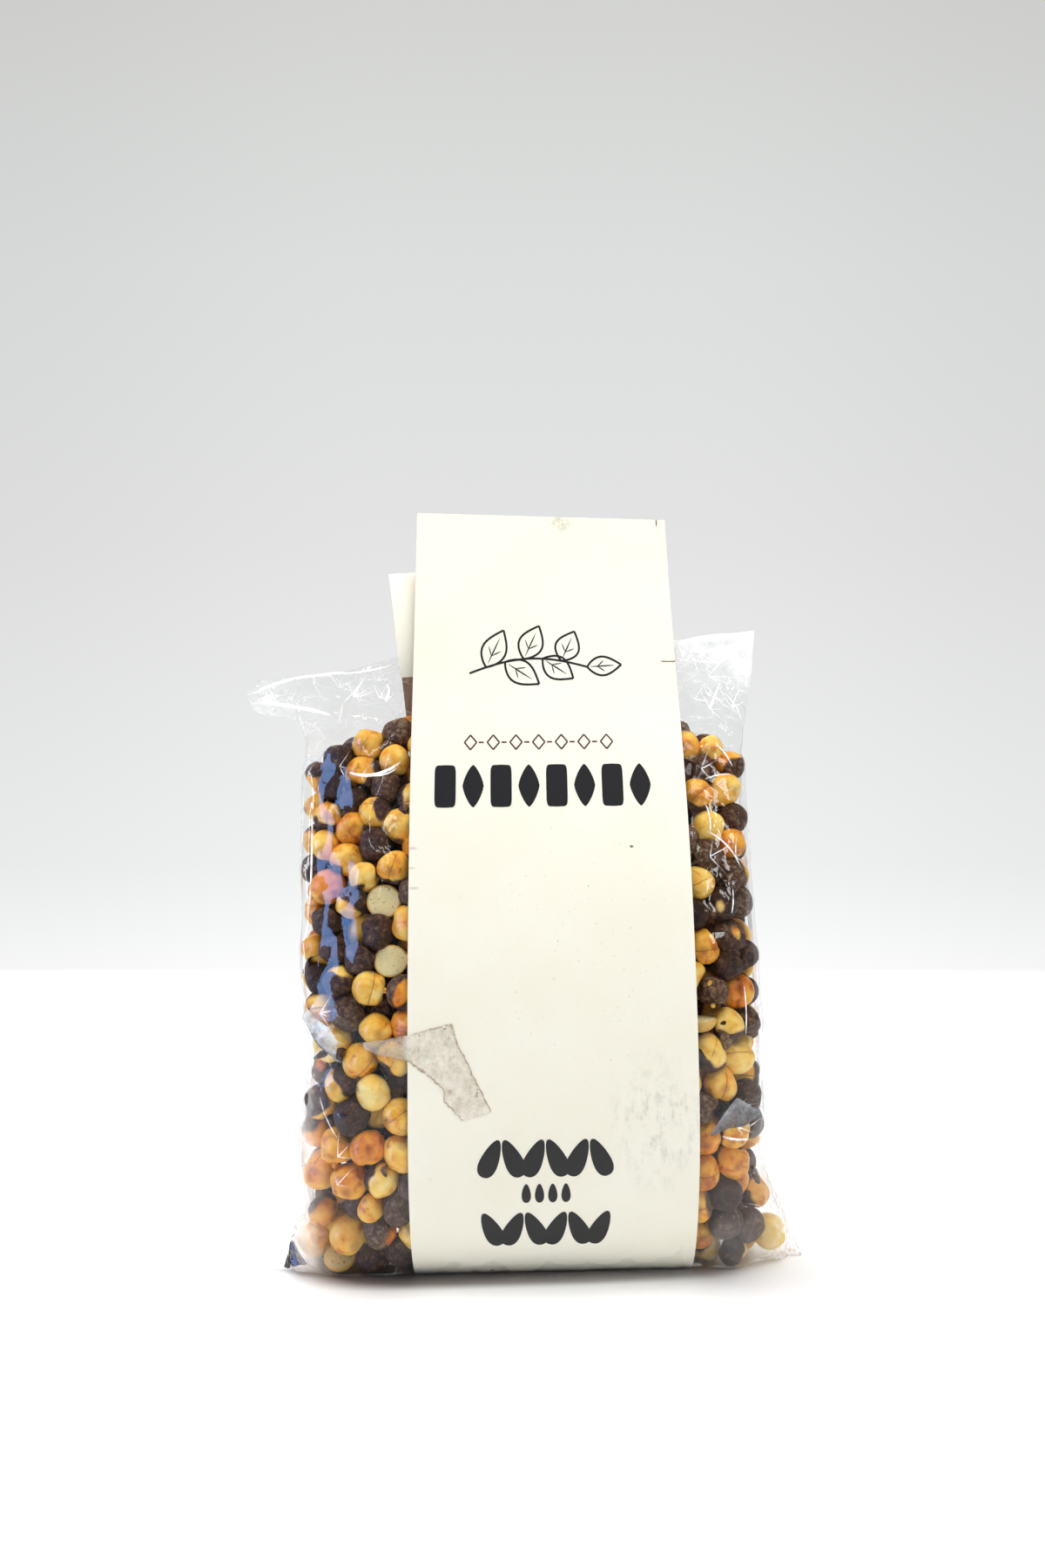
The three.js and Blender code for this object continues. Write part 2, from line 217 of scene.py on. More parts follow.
def film_point(s, h, side):
    """A point of the pouch's outer form: s runs from its left side to its right one, h from the
    base to the top edge, and side is -1 on the front sheet, 1 on the back one. Rows are straight
    from the left edge to the right one; the sheets stand half the section's depth in front of and
    behind its middle, and close together at both side edges."""
    left_x, left_z = (np.interp(h, LEFT_WALK[0], LEFT_WALK[k]) for k in (1, 2))
    right_x, right_z = (np.interp(h, RIGHT_WALK[0], RIGHT_WALK[k]) for k in (1, 2))
    x = mix(left_x, right_x, s)
    bulge = TOP_BULGE * smooth(s, *BULGE_RISE) * (1 - smooth(s, *BULGE_FALL)) * h ** BULGE_POWER
    level = mix(left_z, right_z, s) + bulge
    on_card = 1 - smooth(np.abs(x - FRONT_CENTRE_FOOT), SAG_FROM, SAG_TO)
    z = level + (CARD_THICK + CLEAR) * on_card * np.maximum(0, 1 - level / SAG_HEIGHT)
    lobe = smooth(-x, *LOBE_X) * smooth(z, *LOBE_Z)
    seam = smooth(np.abs(x), *SEAM_X) * (1 - smooth(z, *SEAM_Z))
    reach = np.clip(x - front_centre(level), -CARD_WIDTH / 2, CARD_WIDTH / 2)
    pressed = np.maximum(card_twist(level, TWIST_FROM) * reach, 0)
    front = film_front(level) + pressed * (1 - smooth(z, HEADER_FROM, HEADER_TO))
    back = film_back(level)
    middle = (front + back) / 2 - LOBE_FORWARD * lobe
    middle = middle - np.where(x < 0, SEAM_FORWARD_LEFT, SEAM_FORWARD_RIGHT) * seam
    depth = (back - front) / 2 * girth(x, z)
    closed = (1 - np.abs(2 * s - 1) ** EDGE_FLATNESS) ** EDGE_ROUNDING
    y = middle + side * np.maximum(depth, FILM_HALF) * closed
    return np.stack([x, y, z], -1)


# ---------- meshes ----------

CRISP_ANGLE = math.radians(40)


def piece(name, points, quads, triangles=None, material=None, slot=None, flat=False, crisp=False,
          **layers):
    """A mesh object from a list of points in mm, its four-sided and three-sided faces, and any
    vector layers that its material reads at each point. A crisp one keeps its sharp edges. A piece
    with a slot is turned a little about its foot, less and less upwards."""
    points = np.array(points, np.float32).reshape(-1, 3)
    if slot is not None:
        turn = FOOT_TURN * (1 - smooth(points[:, 2], 0, FOOT_TURN_TO))
        points[:, 1] += turn * (points[:, 0] - FRONT_CENTRE_FOOT)
    points = points * MM
    quads = np.asarray(quads, np.int32).reshape(-1, 4)
    triangles = np.zeros((0, 3), np.int32) if triangles is None else np.asarray(triangles, np.int32)
    mesh = bpy.data.meshes.new(name)
    mesh.vertices.add(len(points))
    mesh.vertices.foreach_set("co", points.ravel())
    mesh.loops.add(quads.size + triangles.size)
    mesh.loops.foreach_set("vertex_index", np.concatenate([quads.ravel(), triangles.ravel()]))
    mesh.polygons.add(len(quads) + len(triangles))
    starts = np.concatenate([4 * np.arange(len(quads)), quads.size + 3 * np.arange(len(triangles))])
    mesh.polygons.foreach_set("loop_start", starts.astype(np.int32))
    mesh.update(calc_edges=True)
    mesh.polygons.foreach_set("use_smooth", np.full(len(mesh.polygons), not flat))
    if crisp:
        mesh.set_sharp_from_angle(angle=CRISP_ANGLE)
    for layer, values in layers.items():
        made = mesh.attributes.new(layer, "FLOAT_VECTOR", "POINT")
        made.data.foreach_set("vector", np.asarray(values, np.float32).ravel())
    mesh.validate()
    obj = bpy.data.objects.new(name, mesh)
    bpy.context.scene.collection.objects.link(obj)
    if material is not None:
        mesh.materials.append(material)
    if slot is not None:
        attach(obj, "root")
    return obj


def ring_faces(rows, around, copies=1, closed=True):
    """Four-sided faces of a grid of rows by around points, wrapped round if closed, for each of a
    number of copies that follow one another."""
    i, j = np.meshgrid(np.arange(rows - 1), np.arange(around if closed else around - 1), indexing="ij")
    k = (j + 1) % around
    face = np.stack([i * around + j, i * around + k, (i + 1) * around + k, (i + 1) * around + j], -1)
    face = face.reshape(1, -1, 4) + (np.arange(copies) * rows * around)[:, None, None]
    return face.reshape(-1, 4)


def sheet_faces(rows, columns):
    """Faces of a thin closed sheet whose rows each run across its front and back across its rear:
    the skin all round, and a cap at both ends."""
    around = 2 * columns
    k = np.arange(columns - 1)
    cap = np.stack([k, k + 1, around - 2 - k, around - 1 - k], -1)
    return np.vstack([ring_faces(rows, around), cap[:, ::-1], cap + (rows - 1) * around])


def ball_faces(rings, segments, copies):
    """Outward faces of forms that are each a first pole, rings of points and a last pole:
    four-sided ones between rings and three-sided ones round the poles."""
    size = rings * segments + 2
    start = (np.arange(copies) * size)[:, None, None]
    quads = (ring_faces(rings, segments)[None, :, ::-1] + 1 + start).reshape(-1, 4)
    k = np.arange(segments)
    after = (k + 1) % segments
    far = 1 + (rings - 1) * segments
    first = np.stack([0 * k, k + 1, after + 1], -1)
    last = np.stack([0 * k + size - 1, far + after, far + k], -1)
    triangles = (np.concatenate([first, last])[None] + start).reshape(-1, 3)
    return quads, triangles


# ---------- shader expressions ----------


class Value:
    """A shader's number: arithmetic on it adds Math nodes."""

    def __init__(self, paint, socket):
        self.paint = paint
        self.socket = socket

    def math(self, operation, *others):
        return self.paint.value("ShaderNodeMath", {"operation": operation}, [self, *others])

    def __add__(self, other):
        return self.math("ADD", other)

    def __sub__(self, other):
        return self.math("SUBTRACT", other)

    def __rsub__(self, other):
        return self.paint.value("ShaderNodeMath", {"operation": "SUBTRACT"}, [other, self])

    def __mul__(self, other):
        return self.math("MULTIPLY", other)

    def __truediv__(self, other):
        return self.math("DIVIDE", other)

    def __pow__(self, other):
        return self.math("POWER", other)

    def __abs__(self):
        return self.math("ABSOLUTE")

    __radd__ = __add__
    __rmul__ = __mul__

    def low(self, other):
        return self.math("MINIMUM", other)

    def high(self, other):
        return self.math("MAXIMUM", other)

    def step(self, low, high):
        """A soft step from 0 at low to 1 at high."""
        settings = {"interpolation_type": "SMOOTHSTEP"}
        return self.paint.value("ShaderNodeMapRange", settings, [self, low, high])


class Paint:
    """A material under construction. One method adds any node: its settings first, then its
    inputs, by place in a list or by name."""

    def __init__(self, name):
        self.material = bpy.data.materials.new(name)
        self.material.use_nodes = True
        self.tree = self.material.node_tree
        self.tree.nodes.clear()

    def node(self, kind, settings=None, inputs=()):
        made = self.tree.nodes.new(kind)
        for key, setting in (settings or {}).items():
            if key == "stops":
                ramp = made.color_ramp
                while len(ramp.elements) < len(setting):
                    ramp.elements.new(1.0)
                for element, (place, colour) in zip(ramp.elements, setting):
                    element.position = place
                    element.color = (*colour, 1.0)
            else:
                setattr(made, key, setting)
        pairs = inputs.items() if isinstance(inputs, dict) else enumerate(inputs)
        for key, given in pairs:
            socket = made.inputs[key]
            if isinstance(given, Value):
                self.tree.links.new(given.socket, socket)
            elif isinstance(given, bpy.types.NodeSocket):
                self.tree.links.new(given, socket)
            else:
                socket.default_value = given
        return made

    def value(self, kind, settings=None, inputs=(), output=0):
        return Value(self, self.node(kind, settings, inputs).outputs[output])

    def layer(self, name):
        """The vector layer that a mesh carries under this name."""
        return self.node("ShaderNodeAttribute", {"attribute_name": name}).outputs["Vector"]

    def place(self):
        """The place on the piece, in metres."""
        return self.node("ShaderNodeTexCoord").outputs["Object"]

    def place_mm(self):
        """The place on the piece, in mm."""
        return self.scaled(self.place(), (1 / MM, 1 / MM, 1 / MM))

    def split(self, vector):
        made = self.node("ShaderNodeSeparateXYZ", None, [vector])
        return [Value(self, socket) for socket in made.outputs]

    def scaled(self, vector, by):
        return self.node("ShaderNodeVectorMath", {"operation": "MULTIPLY"}, [vector, by]).outputs[0]

    def moved(self, vector, by):
        return self.node("ShaderNodeVectorMath", {"operation": "ADD"}, [vector, by]).outputs[0]

    def join(self, x, y, z):
        return self.node("ShaderNodeCombineXYZ", None, [x, y, z]).outputs[0]

    def noise(self, vector, scale, detail=2.0, roughness=0.5, distortion=0.0):
        inputs = {"Vector": vector, "Scale": scale, "Detail": detail, "Roughness": roughness,
                  "Distortion": distortion}
        return self.value("ShaderNodeTexNoise", None, inputs)

    def ramp(self, factor, *stops):
        return self.node("ShaderNodeValToRGB", {"stops": stops}, [factor]).outputs[0]

    def blend(self, factor, a, b, how="MIX"):
        """Colour a turned into colour b by the factor."""
        made = self.node("ShaderNodeMix", {"data_type": "RGBA", "blend_type": how})
        for socket, given in ((made.inputs[0], factor), (made.inputs[6], a), (made.inputs[7], b)):
            if isinstance(given, Value):
                self.tree.links.new(given.socket, socket)
            elif isinstance(given, bpy.types.NodeSocket):
                self.tree.links.new(given, socket)
            else:
                socket.default_value = (*given, 1.0) if isinstance(given, tuple) else given
        return made.outputs[2]

    def bump(self, height, distance, strength=1.0):
        return self.node("ShaderNodeBump", None,
                         {"Strength": strength, "Distance": distance * MM, "Height": height}).outputs[0]

    def over_clear(self, share, tint, body):
        """The finished material of a body over clear film of a tint, as solid as the share says."""
        through = self.node("ShaderNodeBsdfTransparent", None, {"Color": (*tint, 1.0)})
        whole = self.node("ShaderNodeMixShader", None, [share, through.outputs[0], body.outputs[0]])
        return self.finish(whole.outputs[0])

    def finish(self, shader):
        output = self.node("ShaderNodeOutputMaterial")
        self.tree.links.new(shader, output.inputs["Surface"])
        return self.material


def srgb(red, green, blue):
    """The linear colour of a screen colour of 0 to 255."""
    share = np.array([red, green, blue]) / 255
    linear = np.where(share <= 0.04045, share / 12.92, ((share + 0.055) / 1.055) ** 2.4)
    return tuple(float(v) for v in linear)


# ---------- materials ----------

# Each chickpea's own seed moves the patterns this far along x, y and z, so no two are alike.
SEED_SHIFT = (31.0, 17.0, 53.0)


def own_place(p, seat, seed):
    """The place on a chickpea, shifted by its seed."""
    return p.moved(seat, p.join(*(seed * shift for shift in SEED_SHIFT)))


def pea_finish(name):
    """Roasted chickpea: a satin kernel from pale gold to toasted orange, blushed in patches and at
    its beak, with a broken dark groove, and a dusty dark skin where the trait layer's field is
    over 0. The kernel next to the skin's edge is painted darker, as painted shade under the skin.
    The seat layer holds the point's direction on its own chickpea."""
    p = Paint(name)
    seat = p.layer("seat")
    along_x, along_y, along_z = p.split(seat)
    field, tone, seed = p.split(p.layer("trait"))
    own = own_place(p, seat, seed)
    broad = p.noise(own, 0.8, 2.0)
    blush = p.noise(own, 1.5, 3.0, 0.55, 0.4)
    grain = p.noise(own, 9.0, 3.0, 0.6)
    dust = p.noise(own, 3.2, 5.0, 0.72)

    ragged = field + (grain - 0.5) * 0.14 + (dust - 0.5) * 0.1
    skin = ragged.step(-0.012, 0.012)
    groove = (1.0 - abs(along_y + (broad - 0.5) * 0.2).step(0.0, 0.07)) * along_z.step(-0.5, 0.3)
    groove = groove * (blush + (seed - 0.5) * 0.7).step(0.48, 0.66)

    warmth = tone + (broad - 0.5) * 0.9 + (blush - 0.5) * 0.9
    kernel = p.ramp(warmth, (0.0, srgb(255, 229, 146)), (0.28, srgb(252, 208, 98)),
                    (0.54, srgb(244, 174, 58)), (0.8, srgb(222, 128, 34)), (1.0, srgb(168, 82, 24)))
    toasted = (blush + (grain - 0.5) * 0.35).step(0.54, 0.74) * tone.step(0.0, 0.6) * 0.66
    beak = 1.0 - (((along_x - 0.3) ** 2.0 + along_y ** 2.0) ** 0.5 + (grain - 0.5) * 0.3).step(0.08, 0.42)
    beak = beak * along_z.step(0.0, 0.4) * tone.step(0.1, 0.6) * 0.6
    kernel = p.blend(toasted.high(beak), kernel, srgb(150, 68, 18))
    # painted shade: the kernel darkens towards the skin's edge, as if shaded by the skin
    painted_shade_by_skin = ragged.step(-0.16, 0.0) * 0.55
    kernel = p.blend((groove * 0.55).high(painted_shade_by_skin), kernel, srgb(128, 62, 18))

    scuffed = p.noise(p.scaled(own, (1.0, 1.0, 0.3)), 10.0, 4.0, 0.75).step(0.54, 0.72)
    husk = p.ramp(dust * 1.7 - 0.35 + (tone - 0.5) * 0.36, (0.2, srgb(30, 15, 9)), (0.42, srgb(62, 34, 22)),
                  (0.6, srgb(94, 63, 44)), (0.86, srgb(156, 130, 100)))
    husk = p.blend(scuffed * 0.36, husk, srgb(148, 120, 90))
    lip = (1.0 - abs(ragged - 0.03).step(0.0, 0.05)) * skin * 0.5
    husk = p.blend(lip, husk, srgb(146, 112, 82))
    colour = p.blend(skin, kernel, husk)
    wrinkles = p.noise(p.scaled(own, (1.0, 1.0, 0.3)), 6.0, 4.0, 0.65, 0.7)
    on_skin = 0.5 + wrinkles * 1.1 + dust * 0.6
    on_kernel = grain * 0.14 + blush * 0.25 - groove * 0.15
    height = skin * on_skin + (1.0 - skin) * on_kernel
    shine = 0.36 + skin * 0.22 + (dust - 0.5) * 0.3
    body = p.node("ShaderNodeBsdfPrincipled", None,
                  {"Base Color": colour, "Roughness": shine, "Normal": p.bump(height, 0.55),
                   "Specular IOR Level": 0.4})
    return p.finish(body.outputs[0])


def half_finish(name):
    """Split chickpea: a pale cut face inside a golden rim, with a few specks."""
    p = Paint(name)
    seat = p.layer("seat")
    along_x, along_y = p.split(seat)[:2]
    field, tone, seed = p.split(p.layer("trait"))
    own = own_place(p, seat, seed)
    grain = p.noise(own, 7.0, 4.0, 0.65)
    broad = p.noise(own, 1.2, 2.0)
    from_middle = (along_x * along_x + along_y * along_y) ** 0.5
    face = field.step(0.5, 0.95) * (1.0 - (from_middle + (broad - 0.5) * 0.1).step(0.86, 0.93))
    rim = p.ramp(tone * 0.6 + broad * 0.4, (0.2, srgb(236, 196, 104)), (0.8, srgb(220, 156, 62)))
    cut = p.ramp(grain * 0.6 + broad * 0.4, (0.3, srgb(232, 212, 146)), (0.7, srgb(252, 238, 186)))
    colour = p.blend(face, rim, cut)
    speck = p.noise(own, 5.0, 0.0).step(0.74, 0.77)
    colour = p.blend(speck * 0.6, colour, srgb(150, 120, 76))
    body = p.node("ShaderNodeBsdfPrincipled", None,
                  {"Base Color": colour, "Roughness": 0.5 + grain * 0.2, "Normal": p.bump(grain, 0.15)})
    return p.finish(body.outputs[0])


def film_finish(name):
    """Clear glossy film: see-through, with a mirror share that grows at a glancing angle, creases
    as bump and as thin whitened lines, partly stress whitening and partly painted glints, and a
    white haze. The sheet layer gives how loose the film hangs, how hazy it is and how dirty."""
    p = Paint(name)
    place = p.place_mm()
    loose, hazy, dirty = p.split(p.layer("sheet"))
    bent = p.moved(place, p.join(p.noise(place, 0.07) * 9.0, p.noise(place, 0.11) * 7.0, 0.0))
    to_edge = {"feature": "DISTANCE_TO_EDGE"}
    cells = p.value("ShaderNodeTexVoronoi", to_edge, {"Vector": bent, "Scale": 0.085})
    taller = p.scaled(bent, (1.0, 1.0, 0.6))
    fine = p.value("ShaderNodeTexVoronoi", to_edge, {"Vector": taller, "Scale": 0.13})
    ripple = p.noise(place, 0.12, 3.0, 0.55, 0.6)
    patch = p.noise(place, 0.06, 3.0, 0.6)
    relief = (cells.low(0.12) * 7.0 + fine.low(0.1) * 2.4) * (0.08 + loose * 0.92) + ripple * 0.5
    normal = p.bump(relief, 0.5, 0.7)
    facing = p.value("ShaderNodeLayerWeight", None, {"Blend": 0.5, "Normal": normal}, 1)
    mirror = facing ** 5.0 * 0.9 + 0.034
    # whitened crease lines: partly the film's stress whitening, partly painted glints along the creases
    lines = (1.0 - cells.step(0.0, 0.022)) * patch.step(0.38, 0.6)
    lines = lines.high((1.0 - fine.step(0.0, 0.02)) * patch.step(0.46, 0.66) * loose * 0.5)
    haze = hazy * (0.35 + patch.step(0.35, 0.7) * 1.3) + patch.step(0.5, 0.8) * 0.012
    haze = haze + lines * (0.03 + loose * 0.14)
    speck = p.noise(place, 1.0, 2.0, 0.6).step(0.54, 0.6) * dirty
    haze = haze.high(speck * 0.8)
    through = p.node("ShaderNodeBsdfTransparent", None, {"Color": (0.985, 0.988, 0.99, 1.0)})
    white = p.blend(speck, (0.95, 0.955, 0.96), srgb(164, 116, 66))
    front = p.node("ShaderNodeBsdfDiffuse", None, {"Color": white})
    back = p.node("ShaderNodeBsdfTranslucent", None, {"Color": (0.6, 0.605, 0.61, 1.0)})
    veil = p.node("ShaderNodeAddShader", None, [front.outputs[0], back.outputs[0]])
    gloss = p.node("ShaderNodeBsdfGlossy", None, {"Roughness": 0.05, "Normal": normal})
    clear = p.node("ShaderNodeMixShader", None, [haze.low(0.9), through.outputs[0], veil.outputs[0]])
    whole = p.node("ShaderNodeMixShader", None, [mirror.low(0.95), clear.outputs[0], gloss.outputs[0]])
    return p.finish(whole.outputs[0])


def crease_finish(name):
    """Film creased until it turns white, with painted glints: a satin white veil with gaps in it,
    as dense as the fade layer says, that glows a little as painted light."""
    p = Paint(name)
    place = p.place_mm()
    fade = p.split(p.layer("fade"))[0]
    gap = p.noise(place, 0.5, 3.0, 0.7)
    # the emission is painted light: it makes each crease a white glint with no lamp mirrored in it
    body = p.node("ShaderNodeBsdfPrincipled", None,
                  {"Base Color": (0.96, 0.965, 0.97, 1.0), "Roughness": 0.15,
                   "Emission Color": (1.0, 1.0, 1.0, 1.0), "Emission Strength": 0.35})
    return p.over_clear((gap.step(0.22, 0.6) * fade).low(1.0), (0.99, 0.99, 0.99), body)


def pleat_finish(name):
    """A doubled fold of film: glossy, and clearer in patches. The look layer gives how white it is,
    partly its haze and partly painted light and shade, how solid, and how blue, a painted reflection."""
    p = Paint(name)
    place = p.place_mm()
    cloud = p.noise(place, 0.35, 3.0, 0.6)
    streak = p.noise(p.scaled(place, (1.0, 1.0, 0.4)), 1.1, 3.0, 0.6)
    white, dense, blue = p.split(p.layer("look"))
    # the ramp runs from painted shade, dark grey, up to white
    colour = p.ramp(white + (streak - 0.5) * 0.5, (0.0, srgb(74, 66, 66)), (0.5, srgb(150, 150, 154)),
                    (1.0, srgb(238, 240, 244)))
    # painted reflection: streaks of the fold turned blue, as if mirroring a blue light
    colour = p.blend(blue * streak.step(0.36, 0.5), colour, srgb(96, 120, 186))
    body = p.node("ShaderNodeBsdfPrincipled", None,
                  {"Base Color": colour, "Roughness": 0.2, "Normal": p.bump(cloud, 0.6)})
    solid = (dense * (0.45 + cloud.step(0.3, 0.65) * 0.75)).low(1.0)
    return p.over_clear(solid, (0.9, 0.9, 0.91), body)


def card_finish(name):
    """Cream card with faint mottling. The band layer gives the place on the strip: mm right of its
    middle line and mm along it from the front panel's top edge. There it has a crack and a nick at
    the right edge, a soiled top, grey rubbed smudges low on the right, and specks."""
    p = Paint(name)
    band = p.layer("band")
    across, along = p.split(band)[:2]
    fibre = p.noise(band, 1.6, 4.0, 0.7)
    cloud = p.noise(band, 0.03, 3.0, 0.55)
    blotch = p.noise(band, 0.35, 4.0, 0.75)
    wander = (p.noise(band, 0.5, 3.0, 0.7) - 0.5) * 2.5

    def spot(x, y, wide, high, soft=0.6):
        """1 within an ellipse round a place, fading to 0 at its rim."""
        reach = (((across - x) / wide) ** 2.0 + ((along - y) / high) ** 2.0) ** 0.5
        return 1.0 - reach.step(1.0 - soft, 1.0)

    def line_at(y, left, right, half):
        """1 on a wandering line across the strip, from left to right."""
        near = 1.0 - abs(along - y + wander * 0.25).step(half * 0.4, half)
        return near * across.step(left, left + 0.6) * (1.0 - across.step(right, right + 0.6))

    colour = p.ramp(cloud, (0.3, srgb(250, 246, 227)), (0.7, srgb(254, 251, 236)))
    colour = p.blend(blotch.step(0.62, 0.8) * 0.16, colour, srgb(160, 148, 124))
    streaks = p.noise(p.scaled(band, (1.0, 0.45, 1.0)), 0.3, 5.0, 0.8).step(0.46, 0.7)
    rubbed = spot(27.0, 178.0, 17.0, 24.0, 0.9) * streaks * 0.44
    colour = p.blend(rubbed, colour, srgb(140, 136, 128))
    soiled = spot(5.5, 2.0, 4.5, 4.0, 0.9) * blotch.step(0.4, 0.6) * 0.5
    colour = p.blend(soiled, colour, srgb(146, 128, 92))
    specks = p.noise(band, 1.3, 2.0, 0.5).step(0.7, 0.74) * spot(10.0, 130.0, 40.0, 60.0, 0.8) * 0.5
    colour = p.blend(specks + spot(22.2, 105.7, 0.7, 0.5), colour, srgb(120, 112, 98))
    edge_marks = spot(-37.0, 105.5, 1.6, 0.5) + spot(-37.2, 111.0, 1.2, 0.4) + spot(-36.6, 116.5, 1.8, 0.5)
    crack = line_at(48.8, 33.6, 38.4, 0.3)
    nick = spot(35.3, 1.0, 0.3, 2.0)
    colour = p.blend((crack + nick + edge_marks * 0.25).low(1.0), colour, srgb(112, 86, 58))
    relief = p.bump(fibre - crack * 3.0, 0.05, 0.4)
    body = p.node("ShaderNodeBsdfPrincipled", None,
                  {"Base Color": colour, "Roughness": 0.5 + blotch * 0.15, "Normal": relief,
                   "Specular IOR Level": 0.35})
    return p.finish(body.outputs[0])


def raw_card_finish(name):
    """The card's uncoated inner face: brown board with short fibres."""
    p = Paint(name)
    band = p.layer("band")
    fibre = p.noise(p.scaled(band, (0.5, 2.2, 1.0)), 1.4, 4.0, 0.7)
    cloud = p.noise(band, 0.05, 3.0, 0.55)
    colour = p.ramp(cloud * 0.4 + fibre * 0.6, (0.3, srgb(148, 112, 80)), (0.7, srgb(184, 150, 114)))
    body = p.node("ShaderNodeBsdfPrincipled", None,
                  {"Base Color": colour, "Roughness": 0.85, "Normal": p.bump(fibre, 0.08, 0.5)})
    return p.finish(body.outputs[0])


def ink_finish(name, colour):
    """Flat printing ink, a little worn where the card's grain shows."""
    p = Paint(name)
    place = p.place_mm()
    worn = p.noise(place, 1.8, 4.0, 0.75).step(0.66, 0.82) * 0.35
    tint = p.blend(worn, colour, srgb(120, 112, 104))
    body = p.node("ShaderNodeBsdfPrincipled", None, {"Base Color": tint, "Roughness": 0.55 + worn * 0.3})
    return p.finish(body.outputs[0])


def tape_finish(name):
    """Old sticky tape: greyish cream, nearly opaque on the card and clearer towards its tail, with
    rust-brown dirt gathered in specks and along its edges. The strip layer gives the place across
    it, 0 to 1, along it, and how far it is out on its tail."""
    p = Paint(name)
    share, _, tail = p.split(p.layer("strip"))
    place = p.place_mm()
    blotch = p.noise(place, 0.35, 4.0, 0.7)
    fine = p.noise(place, 1.1, 4.0, 0.75)
    rim = abs(share - 0.5) * 2.0 + (fine - 0.5) * 0.22
    colour = p.ramp(blotch, (0.32, srgb(238, 229, 208)), (0.62, srgb(250, 244, 228)))
    rubbed = p.noise(place, 0.9, 4.0, 0.7).step(0.52, 0.7) * 0.3
    colour = p.blend(rubbed, colour, srgb(190, 172, 142))
    clot = p.noise(place, 0.42, 3.0, 0.6)
    clotted = clot.step(0.6, 0.67) * (0.4 + rim.step(0.3, 0.9))
    dirt = (rim.step(0.84, 0.99) * fine.step(0.3, 0.58)).high(clotted)
    colour = p.blend(dirt.low(1.0) * 0.75, colour, srgb(136, 98, 62))
    body = p.node("ShaderNodeBsdfPrincipled", None,
                  {"Base Color": colour, "Roughness": 0.35 + blotch * 0.2,
                   "Normal": p.bump(blotch, 0.2, 0.5)})
    solid = (0.85 + (blotch - 0.5) * 0.6 - tail * 0.58 + dirt * 0.3).low(1.0).high(0.12)
    return p.over_clear(solid, (0.93, 0.92, 0.9), body)


def stage_finish(name):
    """Seamless studio paper, near white on the floor and greyer up the wall, lit from itself on
    the wall so that it stays even, with a contact shadow painted onto the floor right under the pack."""
    p = Paint(name)
    aside, back, height = p.split(p.place())
    wall = p.ramp(height, (0.0, srgb(255, 255, 255)), (0.035, srgb(249, 250, 250)),
                  (0.09, srgb(241, 242, 242)), (0.37, srgb(227, 228, 227)), (0.61, srgb(221, 223, 222)),
                  (0.85, srgb(211, 212, 210)))
    wall = p.blend(abs(aside).step(0.12, 0.5) * 0.1, wall, srgb(140, 140, 142))
    # painted contact shadow: the floor's colour darkens in a rounded patch under the pack's front, deeper
    # and darker on the left
    deep = 0.021 - aside * 0.08
    reach = (((aside + 0.005) / 0.06) ** 4.0 + (back / deep) ** 4.0) ** 0.25
    dark = (1.0 - reach.step(0.82, 1.08)) * (0.76 - aside.step(-0.03, 0.06) * 0.3)
    paper = p.blend(dark, (0.93, 0.93, 0.93), srgb(112, 94, 80))
    floor = p.node("ShaderNodeBsdfPrincipled", None, {"Base Color": paper, "Roughness": 0.6})
    glow = p.node("ShaderNodeEmission", None, {"Color": wall, "Strength": 1.0})
    on_wall = height.step(0.0005, 0.004)
    whole = p.node("ShaderNodeMixShader", None, [on_wall, floor.outputs[0], glow.outputs[0]])
    return p.finish(whole.outputs[0])


# ---------- chickpeas ----------

